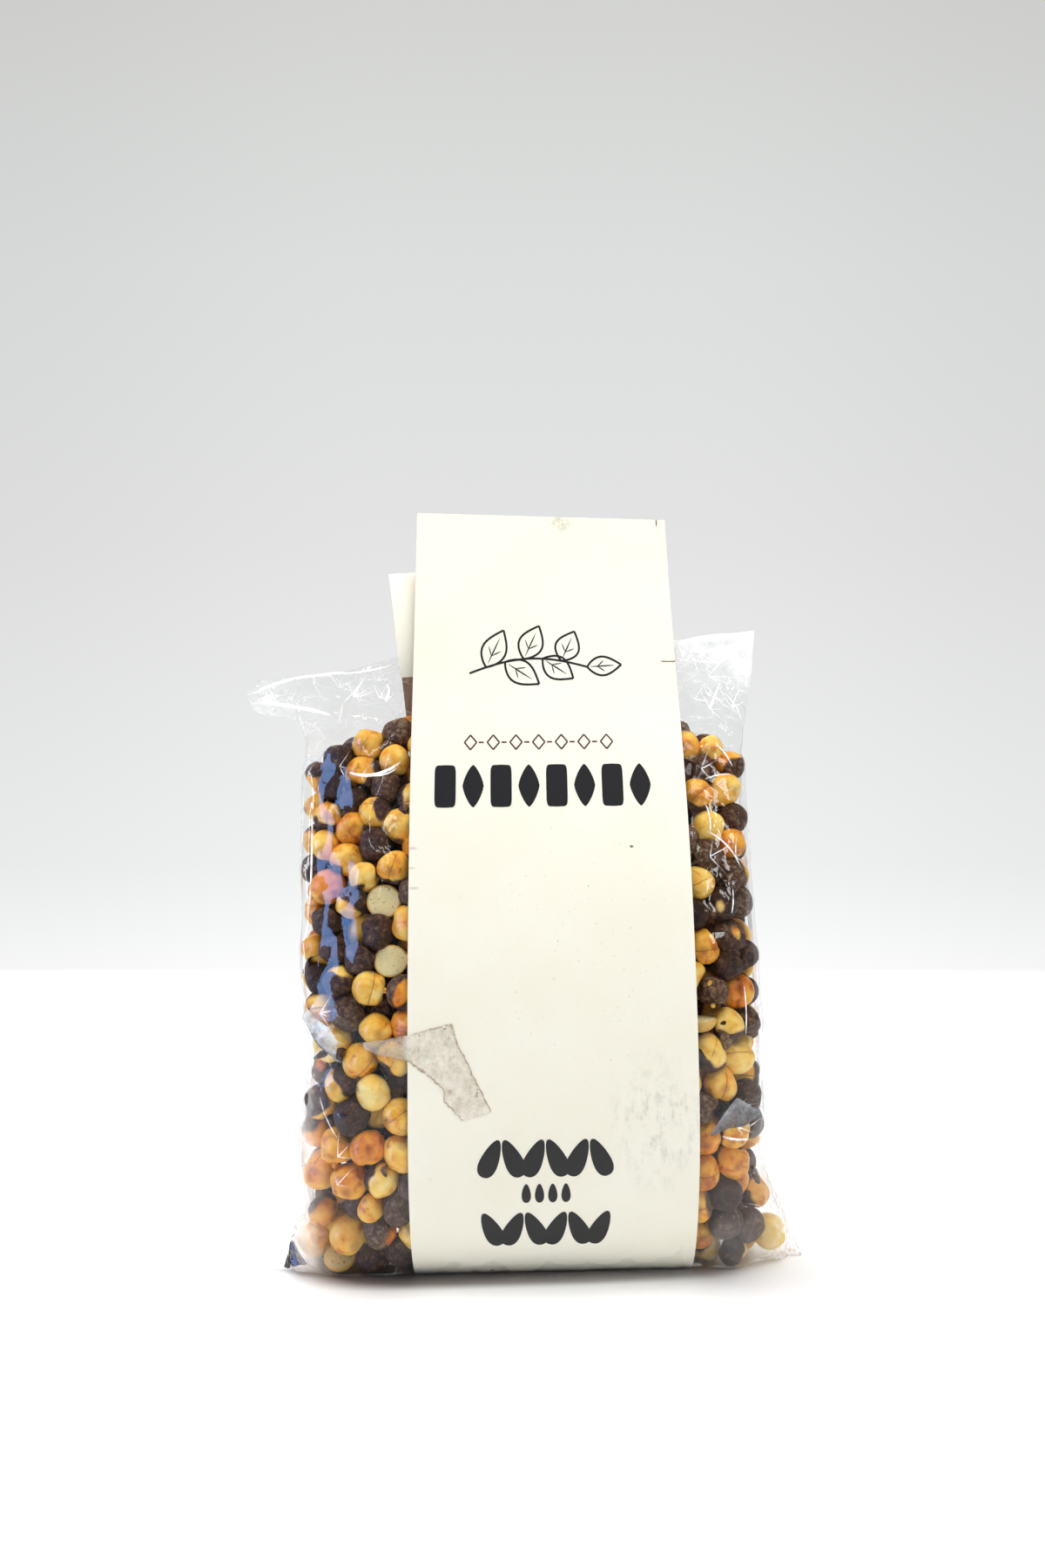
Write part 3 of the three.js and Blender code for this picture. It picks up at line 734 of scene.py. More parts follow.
# The chickpeas that show beside the card, by kind: x and z in mm, and the angle in degrees at
# which the groove runs (gold and amber ones), at which the kernel shows past its skin (part
# skinned ones) or by which the cut face turns up (halves). Dark ones need none.
SHOWN_PEAS = {
    "gold": [
        (-47, 128, 20), (-65, 125, 90), (-39, 122, 60), (-45, 82, 80), (-54, 78, 60), (-53, 53, 0),
        (-43, 52, -5), (-51, 45, 100), (-36, 46, 30), (-37, 36, 70), (-58, 27, 0), (49, 121, 90),
        (53, 103, 60), (54, 60, 20), (67, 8, 0),
    ],
    "amber": [
        (-36, 136, 0), (-54, 120, 0), (-50, 113, 40), (-59, 100, 0), (-47, 94, -40), (-58, 87, 30),
        (-57, 72, 0), (-43, 68, 40), (-36, 69, 0), (-48, 60, 60), (-53, 37, 0), (-44, 38, 80),
        (-49, 28, 0), (-51, 12, 0), (-60, 8, 0), (-44, 4, 0), (54, 136, 0), (53, 95, 0), (53, 78, 90),
        (51, 54, 75), (54, 39, 0), (47, 38, 90), (53, 32, 0), (46, 31, 0), (61, 18, 30), (47, 11, 0),
        (60, 6, 0),
    ],
    "part_skinned": [
        (-41, 150, 80), (-46, 145, 50), (-41, 143, 20), (-62, 134, -100), (-37, 129, 30), (-58, 127, 80),
        (-36, 118, 100), (-62, 119, -100), (-41, 112, 70), (-62, 104, 180), (-50, 103, -120),
        (-36, 97, -140), (-63, 89, 80), (-60, 81, -90), (-38, 62, 60), (-43, 44, 80), (-42, 29, -30),
        (50, 146, 130), (44, 144, 0), (47, 130, 30), (54, 118, 110), (47, 109, 20), (48, 90, 20),
        (46, 79, 10), (52, 68, 80), (47, 62, 80), (58, 54, 180), (46, 49, -90), (46, 22, 180),
        (55, 24, -20),
    ],
    "dark": [
        (-53, 139, 0), (-55, 133, 0), (-43, 134, 0), (-45, 119, 0), (-61, 111, 0), (-36, 104, 0),
        (-56, 97, 0), (-42, 94, 0), (-53, 87, 0), (-39, 78, 0), (-51, 71, 0), (-42, 73, 0), (-35, 54, 0),
        (-47, 34, 0), (-47, 21, 0), (-37, 21, 0), (-42, 14, 0), (-37, 7, 0), (43, 152, 0), (55, 144, 0),
        (45, 138, 0), (55, 128, 0), (45, 118, 0), (52, 110, 0), (46, 99, 0), (56, 89, 0), (59, 49, 0),
        (59, 41, 0), (58, 27, 0), (51, 22, 0), (52, 14, 0), (59, 12, 0),
    ],
    "half": [(-42, 101, 8), (-41, 87, 14), (-54, 3, 55), (47, 72, 84)],
}
KINDS = list(SHOWN_PEAS)
KIND_RADIUS = {"gold": 4.95, "amber": 4.8, "part_skinned": 4.8, "dark": 4.65, "half": 4.8}
KIND_SHARE = {"gold": 0.16, "amber": 0.18, "part_skinned": 0.27, "dark": 0.36, "half": 0.03}
# How far the skin reaches over the kernel, lowest and highest: -2 is bare and 2 is covered.
KIND_COVER = {"gold": (-1.4, -0.85), "amber": (-1.3, -0.65), "part_skinned": (-0.35, 0.3),
              "dark": (0.75, 1.7), "half": (-2, -2)}
# How roasted the kernel is, lowest and highest.
KIND_TONE = {"gold": (0.1, 0.45), "amber": (0.36, 0.7), "part_skinned": (0.2, 0.7), "dark": (0.0, 1.0),
             "half": (0.0, 0.5)}
FORM_LIMIT, PEA_LOWEST = 1.09, 0.15
SHOWN_GRID, INNER_GRID, CRUMB_GRID = (16, 26), (7, 12), (5, 8)
PEA_COUNT = 1000
STREWN_X, STREWN_Y, STREWN_Z, LED_Y = (-62, 62), (-24, 17), (4, 152), -20.0
PACK_ROUNDS, LAST_ROUNDS, PAIR_EVERY, PAIR_REACH = 240, 60, 6, 12.0
TOUCH, PUSH = 0.98, 0.42
PULL, LAST_PULL = 0.3, 0.06
EAGER_FORWARD, FORWARD, FORWARD_FADE = 2.0, 0.5, (54, 62)
# A chickpea counts as shown within this depth of the film, unless the card covers it.
SHOWN_DEPTH, COVERED_HALF, COVERED_BELOW_TOP = 13, 33, 16
SKIN_COUNT, CRUMB_COUNT, LITTER_FROM = 60, 60, 6


def in_container(centre, radius):
    """Moves centres so that their balls lie inside the filled form: in from its superellipse side
    along the slope, in from its front and back, up from the base and down from the heap's line."""
    straight = slice(0, BELOW_LOBE)
    x, y, z = centre.T
    z = np.clip(z, radius + 0.3, None)
    z = np.minimum(z, heap_top(x) - radius)
    left = np.interp(z, LEFT_WALK[2][straight], LEFT_WALK[1][straight]) + radius
    right = np.interp(z, RIGHT_WALK[2], RIGHT_WALK[1]) - radius
    x = np.clip(x, np.maximum(left, -FILLED_LEFT + radius), right)
    front, back = film_front(z), film_back(z)
    to_right = np.clip(x - front_centre(z), 0, CARD_WIDTH / 2)
    front = front + np.maximum(card_twist(z, TWIST_FROM) * to_right, 0)
    slope = (film_front(z + 0.5) - film_front(z - 0.5)) ** 2
    back_slope = (film_back(z + 0.5) - film_back(z - 0.5)) ** 2
    middle, half = (front + back) / 2, (back - front) / 2
    wide, deep = filled_half(x, z), GIRTH_FLAT * half
    rx, ry = np.abs(x) / wide, np.abs(y - middle) / deep
    total = np.maximum(rx ** GIRTH_POWER + ry ** GIRTH_POWER, 1e-6)
    level = total ** (1 / GIRTH_POWER)
    gx = level / total * rx ** (GIRTH_POWER - 1) / wide * np.sign(x)
    gy = level / total * ry ** (GIRTH_POWER - 1) / deep * np.sign(y - middle)
    size = np.maximum(np.hypot(gx, gy), 1e-6)
    over = np.maximum(radius - (1 - level) / size, 0)
    x = x - over * gx / size
    y = y - over * gy / size
    low = front + radius * np.sqrt(1 + slope)
    high = back - radius * np.sqrt(1 + back_slope)
    y = np.where(low < high, np.clip(y, low, high), (low + high) / 2)
    return np.stack([x, y, z], -1)


def packed_peas(rng, goal, goal_radius, eager):
    """Centres and radii of balls packed into the filled form. They are strewn at random, then
    pushed apart in rounds wherever two overlap, and back inside after each round. The ones that
    have a goal are drawn to its x and z and forwards, the eager ones more, until they touch the
    front film."""
    loose = PEA_COUNT - len(goal)
    radius = PEA_RADIUS * (1 + 0.08 * rng.standard_normal(loose).clip(-2, 2))
    strewn = np.stack([rng.uniform(*span, loose) for span in (STREWN_X, STREWN_Y, STREWN_Z)], -1)
    placed = np.stack([goal[:, 0], np.full(len(goal), LED_Y), goal[:, 1]], -1)
    centre = np.vstack([placed, strewn])
    radius = np.concatenate([goal_radius, radius])
    led = slice(0, len(goal))
    forward = np.where(eager, EAGER_FORWARD, FORWARD) * (1 - smooth(np.abs(goal[:, 0]), *FORWARD_FADE))
    for turn in range(PACK_ROUNDS):
        if turn % PAIR_EVERY == 0:
            apart = np.linalg.norm(centre[:, None] - centre[None], axis=-1)
            first, second = np.nonzero(np.triu(apart < PAIR_REACH, 1))
        gap = centre[second] - centre[first]
        far = np.maximum(np.linalg.norm(gap, axis=1), 1e-3)
        need = np.maximum(TOUCH * (radius[first] + radius[second]) - far, 0)[:, None]
        push = PUSH * need * gap / far[:, None]
        for axis in range(3):
            centre[:, axis] += np.bincount(second, push[:, axis], len(centre))
            centre[:, axis] -= np.bincount(first, push[:, axis], len(centre))
        pull = PULL if turn < PACK_ROUNDS - LAST_ROUNDS else LAST_PULL
        centre[led, 0] += pull * (goal[:, 0] - centre[led, 0])
        centre[led, 2] += pull * (goal[:, 1] - centre[led, 2])
        centre[led, 1] -= forward * pull
        centre = in_container(centre, radius)
    return centre, radius


def unit(vectors):
    """Vectors shortened or stretched to length 1."""
    return vectors / np.maximum(np.linalg.norm(vectors, axis=-1, keepdims=True), 1e-9)


def turned(z_way, y_hint):
    """Turns that take a form's z to z_way and its y as near as can be to y_hint."""
    z_way = unit(z_way)
    y_way = unit(y_hint - (y_hint * z_way).sum(-1, keepdims=True) * z_way)
    return np.stack([np.cross(y_way, z_way), y_way, z_way], -1)


def pea_turns(rng, kind, angle, led):
    """How each chickpea lies. A shown one has its groove, kernel or cut face towards the front at
    its angle, give or take a little, and any other one lies at random."""
    count = len(angle)
    chance = rng.standard_normal((count, 2, 3))
    a = np.radians(angle)
    none = np.zeros(count)
    line = np.stack([np.cos(a), none, np.sin(a)], -1)
    across = np.stack([-np.sin(a), none, np.cos(a)], -1)
    forward, upward = np.array([0.0, -1.0, 0.0]), np.array([0, 0, 1])
    if kind == "part_skinned":
        kernel = line + 0.5 * forward + 0.2 * chance[:, 0]
        z_way = np.cross(kernel, across)
        y_way = np.cross(z_way, kernel)
    elif kind == "half":
        z_way = forward * np.cos(a)[:, None] + upward * np.sin(a)[:, None] + 0.08 * chance[:, 0]
        y_way = across
    else:
        z_way = forward + 0.3 * chance[:, 0]
        y_way = across
    loose = ~led[:, None]
    z_way = np.where(loose, chance[:, 0], z_way)
    y_way = np.where(loose, chance[:, 1], y_way)
    return turned(z_way, y_way)


def ball_grid(rings, segments):
    """Unit directions of a ball: its first pole, rings between the poles, and its last pole."""
    polar = np.linspace(0, np.pi, rings + 2)[1:-1, None]
    around = np.linspace(0, 2 * np.pi, segments, endpoint=False)[None]
    between = np.stack([np.sin(polar) * np.cos(around), np.sin(polar) * np.sin(around),
                        np.cos(polar) * np.ones_like(around)], -1)
    return np.vstack([[[0, 0, 1]], between.reshape(-1, 3), [[0, 0, -1]]])


def waves(rng, d, count, pitch, octaves):
    """The sum of plane waves through a ball in random directions, each finer and weaker."""
    total = np.zeros((count, len(d)))
    for k in range(octaves):
        way = unit(rng.standard_normal((count, 3))) * pitch * (1 + 0.8 * k)
        phase = rng.uniform(0, 2 * np.pi, (count, 1))
        total += np.sin(way @ d.T + phase) / (1 + k)
    return total


def pea_forms(rng, kind, count, grid):
    """Chickpea forms in radii, and the skin's field on them. A form is a ball with a beak beside
    its pole, two lobes either side of a groove, flats where it was pressed and a few waves; rough
    skins add more. The field is the depth of a point behind the kernel's window, plus waves, and
    the skin lies where it is over 0 and stands a little proud. A half is a smooth ball with a
    beak, pressed nearly flat on its cut side."""
    d = ball_grid(*grid)
    x, y, z = d.T
    beak = np.exp(-((x - 0.3) ** 2 + y ** 2) / 0.05) * (z > 0)
    groove = np.exp(-(y / 0.14) ** 2) * smooth(z, -0.7, 0.2)
    lobes = np.exp(-(y / 0.35) ** 2) * smooth(z, -0.5, 0.6)
    rough = 0.036 if kind in ("gold", "amber") else 0.044
    size = 1.0 + rng.uniform(0.0, 0.12, (count, 1)) * beak
    size = size - rng.uniform(0.0, 0.045, (count, 1)) * groove - rng.uniform(0.02, 0.13, (count, 1)) * lobes
    size = size + rough * waves(rng, d, count, 2.2, 4)
    for _ in range(6):
        flat = unit(rng.standard_normal((count, 3))) @ d.T
        size = size - rng.uniform(0.06, 0.2, (count, 1)) * smooth(flat, 0.62, 1.1)
    cover = rng.uniform(*KIND_COVER[kind], (count, 1))
    field = cover - x + 0.16 * waves(rng, d, count, 3.4, 3)
    size = size + 0.035 * smooth(field, -0.06, 0.08)
    size = np.minimum(size / size.mean(1, keepdims=True), FORM_LIMIT)
    if kind == "half":
        size = 1.0 + 0.12 * np.exp(-((x - 1) ** 2 + y ** 2) / 0.05) + 0.012 * waves(rng, d, count, 2.0, 3)
        field = np.broadcast_to(smooth(z, -0.02, 0.02), (count, len(d)))
    form = d * size[..., None]
    form = form * rng.uniform(0.94, 1.03, (count, 1, 3))
    if kind == "half":
        form[..., 2] *= np.where(z > 0, 0.07, 0.8)
    return form, field


def pea_mesh(name, rng, kind, centre, radius, turn, grid, finish):
    """One mesh of many chickpeas: each form is turned, sized and moved to its centre."""
    count = len(centre)
    form, field = pea_forms(rng, kind, count, grid)
    points = np.einsum("nij,nvj->nvi", turn, form) * radius[:, None, None] + centre[:, None]
    points[..., 2] = np.maximum(points[..., 2], PEA_LOWEST)
    tone = rng.uniform(*KIND_TONE[kind], (count, 1)) + np.zeros_like(field)
    seed = rng.random((count, 1)) + np.zeros_like(field)
    seat = np.broadcast_to(ball_grid(*grid), form.shape)
    trait = np.stack([field, tone, seed], -1)
    faces = ball_faces(*grid, count)
    piece(name, points, *faces, material=finish, slot="chickpeas", seat=seat, trait=trait)


def chickpeas():
    """All the chickpeas: they are packed as balls, shared out into kinds, and made one mesh a kind,
    finer where they show."""
    rng = np.random.default_rng(PACKING_SEED)
    shown_rows = [(KINDS.index(kind), *row) for kind, rows in SHOWN_PEAS.items() for row in rows]
    shown_kind, goal_x, goal_z, shown_angle = np.array(shown_rows, float).T
    base = np.array([KIND_RADIUS[kind] for kind in KINDS])[shown_kind.astype(int)]
    goal_radius = base * rng.uniform(0.94, 1.05, len(base))
    eager = shown_kind == KINDS.index("half")
    centre, radius = packed_peas(rng, np.stack([goal_x, goal_z], -1), goal_radius, eager)
    led = np.arange(len(centre)) < len(goal_x)
    front, back = film_front(centre[:, 2]), film_back(centre[:, 2])
    x, y, z = centre.T
    below_top = heap_top(x) - z
    near = np.minimum(np.minimum(y - front, back - y), np.minimum(below_top, filled_half(x, z) - np.abs(x)))
    from_middle = np.where(y < (front + back) / 2, np.abs(x - front_centre(z)), np.abs(x - back_centre(z)))
    covered = (from_middle < COVERED_HALF) & (below_top > COVERED_BELOW_TOP)
    shown = led | ((near < SHOWN_DEPTH) & ~covered)
    kind = rng.choice(len(KINDS), len(centre), p=[KIND_SHARE[name] for name in KINDS])
    kind[led] = shown_kind
    angle = np.zeros(len(centre))
    angle[led] = shown_angle
    skinned, split = pea_finish("roasted_chickpea"), half_finish("split_chickpea")
    for index, name in enumerate(KINDS):
        chosen = shown & (kind == index)
        turn = pea_turns(rng, name, angle[chosen], led[chosen])
        finish = split if name == "half" else skinned
        pea_mesh("peas_" + name, rng, name, centre[chosen], radius[chosen], turn, SHOWN_GRID, finish)
    hidden = ~shown
    turn = pea_turns(rng, "dark", angle[hidden], led[hidden])
    pea_mesh("peas_inner", rng, "part_skinned", centre[hidden], radius[hidden], turn, INNER_GRID, skinned)
    littered = shown & (z > LITTER_FROM)
    litter(rng, centre[littered], radius[littered], skinned)
    return centre, radius


def litter(rng, centre, radius, finish):
    """Loose skins and crumbs in the crevices: each lies between two touching chickpeas. A skin is
    a cap cut from a ball, ragged by waves at its rim, curled by squeezing it and given a
    thickness; a crumb is a small rough lump."""
    apart = np.linalg.norm(centre[:, None] - centre[None], axis=-1)
    first, second = np.nonzero(np.triu((apart > 1) & (apart < 1.04 * (radius[:, None] + radius[None])), 1))
    pick = rng.choice(len(first), SKIN_COUNT + CRUMB_COUNT, replace=False)
    share = (radius[first[pick]] / (radius[first[pick]] + radius[second[pick]]))[:, None]
    at = mix(centre[first[pick]], centre[second[pick]], share)
    middle = (film_front(at[:, 2]) + film_back(at[:, 2])) / 2
    out = unit(np.stack([at[:, 0] / 3, (at[:, 1] - middle), 0 * middle], -1))
    at = at + out * rng.uniform(1.0, 3.4, (len(at), 1))
    chance = rng.standard_normal((len(at), 2, 3))
    turn = turned(out + 0.6 * chance[:, 0], chance[:, 1])

    rings, segments = 6, 18
    around = np.linspace(0, 2 * np.pi, segments, endpoint=False)
    rim = rng.uniform(0.8, 1.5, (SKIN_COUNT, 1)) + 0.16 * np.sin(
        rng.integers(2, 6, (SKIN_COUNT, 1)) * around + rng.uniform(0, 6, (SKIN_COUNT, 1)))
    polar = np.linspace(0, 1, rings + 1)[None, 1:, None] * rim[:, None, :]
    cap = np.stack([np.sin(polar) * np.cos(around), np.sin(polar) * np.sin(around), np.cos(polar) - 0.6], -1)
    pole = np.broadcast_to([0, 0, 0.4], (SKIN_COUNT, 1, 3))
    cap = np.concatenate([pole, cap.reshape(SKIN_COUNT, -1, 3)], 1)
    cap = cap + 0.05 * np.sin(5 * cap[..., [1, 2, 0]] + rng.uniform(0, 6, (SKIN_COUNT, 1, 3)))
    cap = cap * rng.uniform(0.55, 1.0, (SKIN_COUNT, 1, 3)) * rng.uniform(2.6, 3.7, (SKIN_COUNT, 1, 1))
    inner = cap * 0.9 - [0, 0, 0.22]
    inner_rings = inner[:, 1:].reshape(SKIN_COUNT, rings, segments, 3)[:, ::-1].reshape(SKIN_COUNT, -1, 3)
    shell = np.concatenate([cap, inner_rings, inner[:, :1]], 1)
    points = np.einsum("nij,nvj->nvi", turn[:SKIN_COUNT], shell) + at[:SKIN_COUNT, None]
    flat = np.ones(points.shape[:2])
    seed = rng.random((SKIN_COUNT, 1)) * flat
    trait = np.stack([flat, rng.uniform(0.2, 1.0, (SKIN_COUNT, 1)) * flat, seed], -1)
    piece("loose_skins", points, *ball_faces(2 * rings, segments, SKIN_COUNT), material=finish,
          slot="chickpeas", seat=shell / 4, trait=trait)

    form, field = pea_forms(rng, "amber", CRUMB_COUNT, CRUMB_GRID)
    lump = form * [1.3, 0.8, 0.8] * rng.uniform(0.5, 1.3, (CRUMB_COUNT, 1, 1))
    points = np.einsum("nij,nvj->nvi", turn[SKIN_COUNT:], lump) + at[SKIN_COUNT:, None]
    tone = rng.uniform(0.2, 0.8, (CRUMB_COUNT, 1)) + 0 * field
    trait = np.stack([np.where(rng.random((CRUMB_COUNT, 1)) < 0.4, 1.0, -1.0) + 0 * field, tone, tone], -1)
    seat = np.broadcast_to(ball_grid(*CRUMB_GRID), form.shape)
    faces = ball_faces(*CRUMB_GRID, CRUMB_COUNT)
    piece("crumbs", points, *faces, material=finish, slot="chickpeas", seat=seat, trait=trait)


# ---------- the film ----------

CLOSING_REACH, BEND_UP, BEND_ALONG = 13.0, 60.0, 34.0
NOT_MET, PER_BATCH = -9.0, 3000
LEVEL_ROWS, SHEET_HEIGHT = slice(40, 190), 176
# Where the left column of the front sheet rolls in smooth waves, as ranges of soft steps: x to the
# left, and z.
COLUMN_INNER, COLUMN_OUTER, COLUMN_LOW, COLUMN_HIGH = (46, 52), (60, 65), (78, 90), (134, 144)
LEFT_PINCH_Z, RIGHT_PINCH_Z = 66, 47
ABOVE_FLOOR = 0.05


def hull_offset(points, normals, centre, radius):
    """How far out along its normal the film meets the outermost ball, for each point."""
    best = np.full(len(points), NOT_MET)
    for start in range(0, len(points), PER_BATCH):
        rows = slice(start, start + PER_BATCH)
        to = centre[None] - points[rows, None]
        along = np.einsum("pnc,pc->pn", to, normals[rows])
        off = (to ** 2).sum(-1) - along ** 2
        inside = radius[None] ** 2 - off
        reach = np.where(inside > 0, along + np.sqrt(np.maximum(inside, 0)), NOT_MET)
        best[rows] = reach.max(1)
    return best


def spread(field, places, axis, reach, bend, sign):
    """One pass of a parabolic dilation (sign 1) or erosion (sign -1) along an axis: each value
    becomes the highest (lowest) of its neighbours', less (plus) their squared distance over twice
    the bend."""
    field = np.moveaxis(field, axis, 0)
    best = field.copy()
    step = np.median(np.abs(np.diff(places)))
    wrap = axis == 1
    for k in range(1, int(reach / max(step, 0.2)) + 1):
        for shift in (k, -k):
            moved = np.roll(field, shift, 0)
            gap = np.roll(places, shift) - places
            if wrap:
                total = places[-1] + step
                gap = (gap + total / 2) % total - total / 2
            else:
                lost = np.abs(gap) > reach * 3
                moved[lost] = -sign * 99
            toll = (gap ** 2 / (2 * bend))[:, None]
            best = np.maximum(best, moved - toll) if sign > 0 else np.minimum(best, moved + toll)
    return np.moveaxis(best, 0, axis)


def folds(rng, along, up, lengths, relief):
    """Crumpled film: the sum of triangle waves in random directions over the sheet, each as long
    as one of the lengths and bent by a slow wander, so that straight creases cross each other."""
    total = np.zeros(along.shape)
    for length in lengths:
        turn = rng.uniform(0, np.pi)
        phase = rng.uniform(0, 1)
        wander = 0.22 * np.sin((along * np.sin(turn) - up * np.cos(turn)) / (1.7 * length) + 6 * phase)
        wave = (along * np.cos(turn) + up * np.sin(turn)) / length + phase + wander
        total += relief * length / lengths[0] * (2 * np.abs(wave % 1 - 0.5) - 0.5)
    return total


def film(centre, radius):
    """The pouch's film: the pouch's outer form, drawn in until it spans from chickpea to
    chickpea. Each point's offset is the outermost ball's, closed by a parabolic dilation and
    erosion, so that it is tight over the outer ones and bridges the gaps. It is crumpled where it
    hangs loose: above the heap, in the corners and at the pinch low on both sides; above the heap
    both sheets are folded as one, so that they stay side by side. It is hazy low down, in the loose
    top right and at the lobe; in the top right and at the lobe the white haze is partly painted
    light, standing for the light above mirrored and smeared in the crumpled film."""
    rng = np.random.default_rng(FILM_SEED)
    per_side, rows = FILM_COLUMNS, FILM_ROWS
    q = np.linspace(-1, 1, per_side, endpoint=False)
    outward = np.sign(q) * (1 - (1 - np.abs(q)) ** 1.9)
    s = np.concatenate([(outward + 1) / 2, (1 - outward) / 2])
    side = np.concatenate([-np.ones(per_side), np.ones(per_side)])
    twin = (2 * per_side - np.arange(2 * per_side)) % (2 * per_side)
    h = np.linspace(0, 1, rows)
    grid = film_point(s[None], h[:, None], side[None] * np.ones((rows, 1)))
    across = np.roll(grid, -1, 1) - np.roll(grid, 1, 1)
    normal = unit(np.cross(across, np.gradient(grid, axis=0)))
    step = np.linalg.norm(np.roll(grid, -1, 1) - grid, axis=-1)[LEVEL_ROWS].mean(0)
    arc = np.concatenate([[0], np.cumsum(step)[:-1]])
    rise = h * SHEET_HEIGHT
    reach = hull_offset(grid.reshape(-1, 3), normal.reshape(-1, 3), centre, radius * FORM_LIMIT)
    closed = reach.reshape(rows, -1)
    for sign in (1, -1):
        for axis, places, bend in ((0, rise, BEND_UP), (1, arc, BEND_ALONG)):
            closed = spread(closed, places, axis, CLOSING_REACH, bend, sign)

    x, _, level = np.moveaxis(grid, -1, 0)
    edge = np.abs(2 * s - 1)[None]
    over_heap = heap_top(x)
    in_heap = smooth(over_heap + 6 - level, 0, 10) * (1 - smooth(edge, 0.93, 1.0)) * smooth(level, 0, 6)
    half_gap = np.linalg.norm(grid - grid[:, twin], axis=-1) / 2
    slack = -np.minimum(3.0, 0.9 * np.maximum(half_gap - FILM_HALF, 0)) * in_heap
    offset = np.where(in_heap > 0.01, np.maximum(np.clip(closed, -5, 1.5) + 0.15, slack), slack)
    column = smooth(-x, *COLUMN_INNER) * (1 - smooth(-x, *COLUMN_OUTER))
    column = column * smooth(level, *COLUMN_LOW) * (1 - smooth(level, *COLUMN_HIGH))
    rolling = 0.3 + 0.6 * np.sin(level / 9.0) + 0.26 * np.sin(level / 3.0 + 1.4 * np.sin(x / 2.0))
    rolling = rolling + 0.2 * np.sin(x / 1.6 + level / 4.0)
    offset = mix(offset, rolling, 0.85 * column * (side < 0))

    loose = smooth(level, over_heap - 4, over_heap + 8)
    corner = smooth(np.abs(x), 60, 66) * (1 - smooth(level, 12, 26))
    pinch = np.exp(-((level - LEFT_PINCH_Z) / 9) ** 2) * smooth(-x, 52, 62)
    pinch = pinch + np.exp(-((level - RIGHT_PINCH_Z) / 6) ** 2) * smooth(x, 48, 58)
    along = np.where(side > 0, arc + 7.0, arc)[None] + 0 * x
    wide = folds(rng, along, level, (26.0, 19.0, 14.0), 0.6)
    tight = folds(rng, along, level, (11.0, 8.0, 6.0), 0.32)
    shared = folds(rng, x, level, (24.0, 17.0, 12.0, 8.0, 5.0), 1.5)
    amount = 0.12 + 0.7 * loose + 0.7 * corner + 1.1 * pinch
    clear_of_card = np.abs(x - np.where(side < 0, front_centre(level), back_centre(level))) - CARD_WIDTH / 2
    free = np.maximum(smooth(clear_of_card, -1.0, 3.0), smooth(level, 170, 178) * 0.6)
    rim = 1 - smooth(h[:, None], 0.985, 1.0) * 0.6
    offset = offset + (wide + tight) * amount * free * rim * np.minimum(1, 0.35 + half_gap / 6)

    points = grid + normal * offset[..., None]
    points[..., 1] += shared * smooth(level, over_heap + 2, over_heap + 16) * (0.35 + 0.65 * free)
    points[..., 1] += 0.8 * shared * corner
    points[..., 2] = np.maximum(points[..., 2], ABOVE_FLOOR)

    lobe = smooth(-x, 44, 60) * np.exp(-((level - 156) / 4.5) ** 2)
    tip = smooth(-x, 70, 76) * smooth(level, 145, 150)
    hazy = 0.003 + 0.02 * (1 - smooth(level, 4, 44)) + 0.01 * loose
    # the lobe's and its tip's haze is partly painted highlight
    hazy = hazy + 0.03 * lobe + 0.03 * tip + 0.05 * corner
    # top right of the header: partly whitish film, partly painted reflection of the light above
    hazy = hazy + 0.5 * smooth(x, 34, 46) * smooth(level, 160, 176) * (side < 0)
    on_past_seam = np.where(side < 0, 1, smooth(edge, 0.8, 1.0))
    hazy = hazy + 0.62 * smooth(-x, 53, 64) * (1 - smooth(level, 52, 64)) * on_past_seam
    hazy = hazy + 0.1 * smooth(x, 56, 64) * (1 - smooth(level, 30, 60)) * (side < 0)
    hazy = hazy + 0.05 * smooth(x, 44, 50) * (1 - smooth(level, 18, 34)) * (side < 0)
    crackle = 0.5 * smooth(x, 38, 46) * smooth(level, 94, 110) * (side < 0)
    slack_share = np.clip(loose + corner + pinch + crackle, 0, 1)
    dirty = smooth(np.abs(x), 67, 73) * (1 - smooth(level, 3, 7))
    sheet = np.stack([slack_share, hazy, dirty], -1)
    quads = ring_faces(rows, 2 * per_side)
    k = np.arange(per_side)
    base = np.stack([k, k + 1, twin[(k + 1) % (2 * per_side)], twin[k]], -1)
    top = base + (rows - 1) * 2 * per_side
    quads = np.vstack([quads, base[1:-1, ::-1], top[1:-1]])
    corners = np.array([[0, 1, twin[1]], [per_side - 1, per_side, twin[per_side - 1]]])
    corners = np.vstack([corners[:, ::-1], corners + (rows - 1) * 2 * per_side])
    made = piece("film_pouch", points.reshape(-1, 3), quads, corners, film_finish("clear_film"), "film",
                 sheet=sheet)
    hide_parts("bag")
    return points, normal


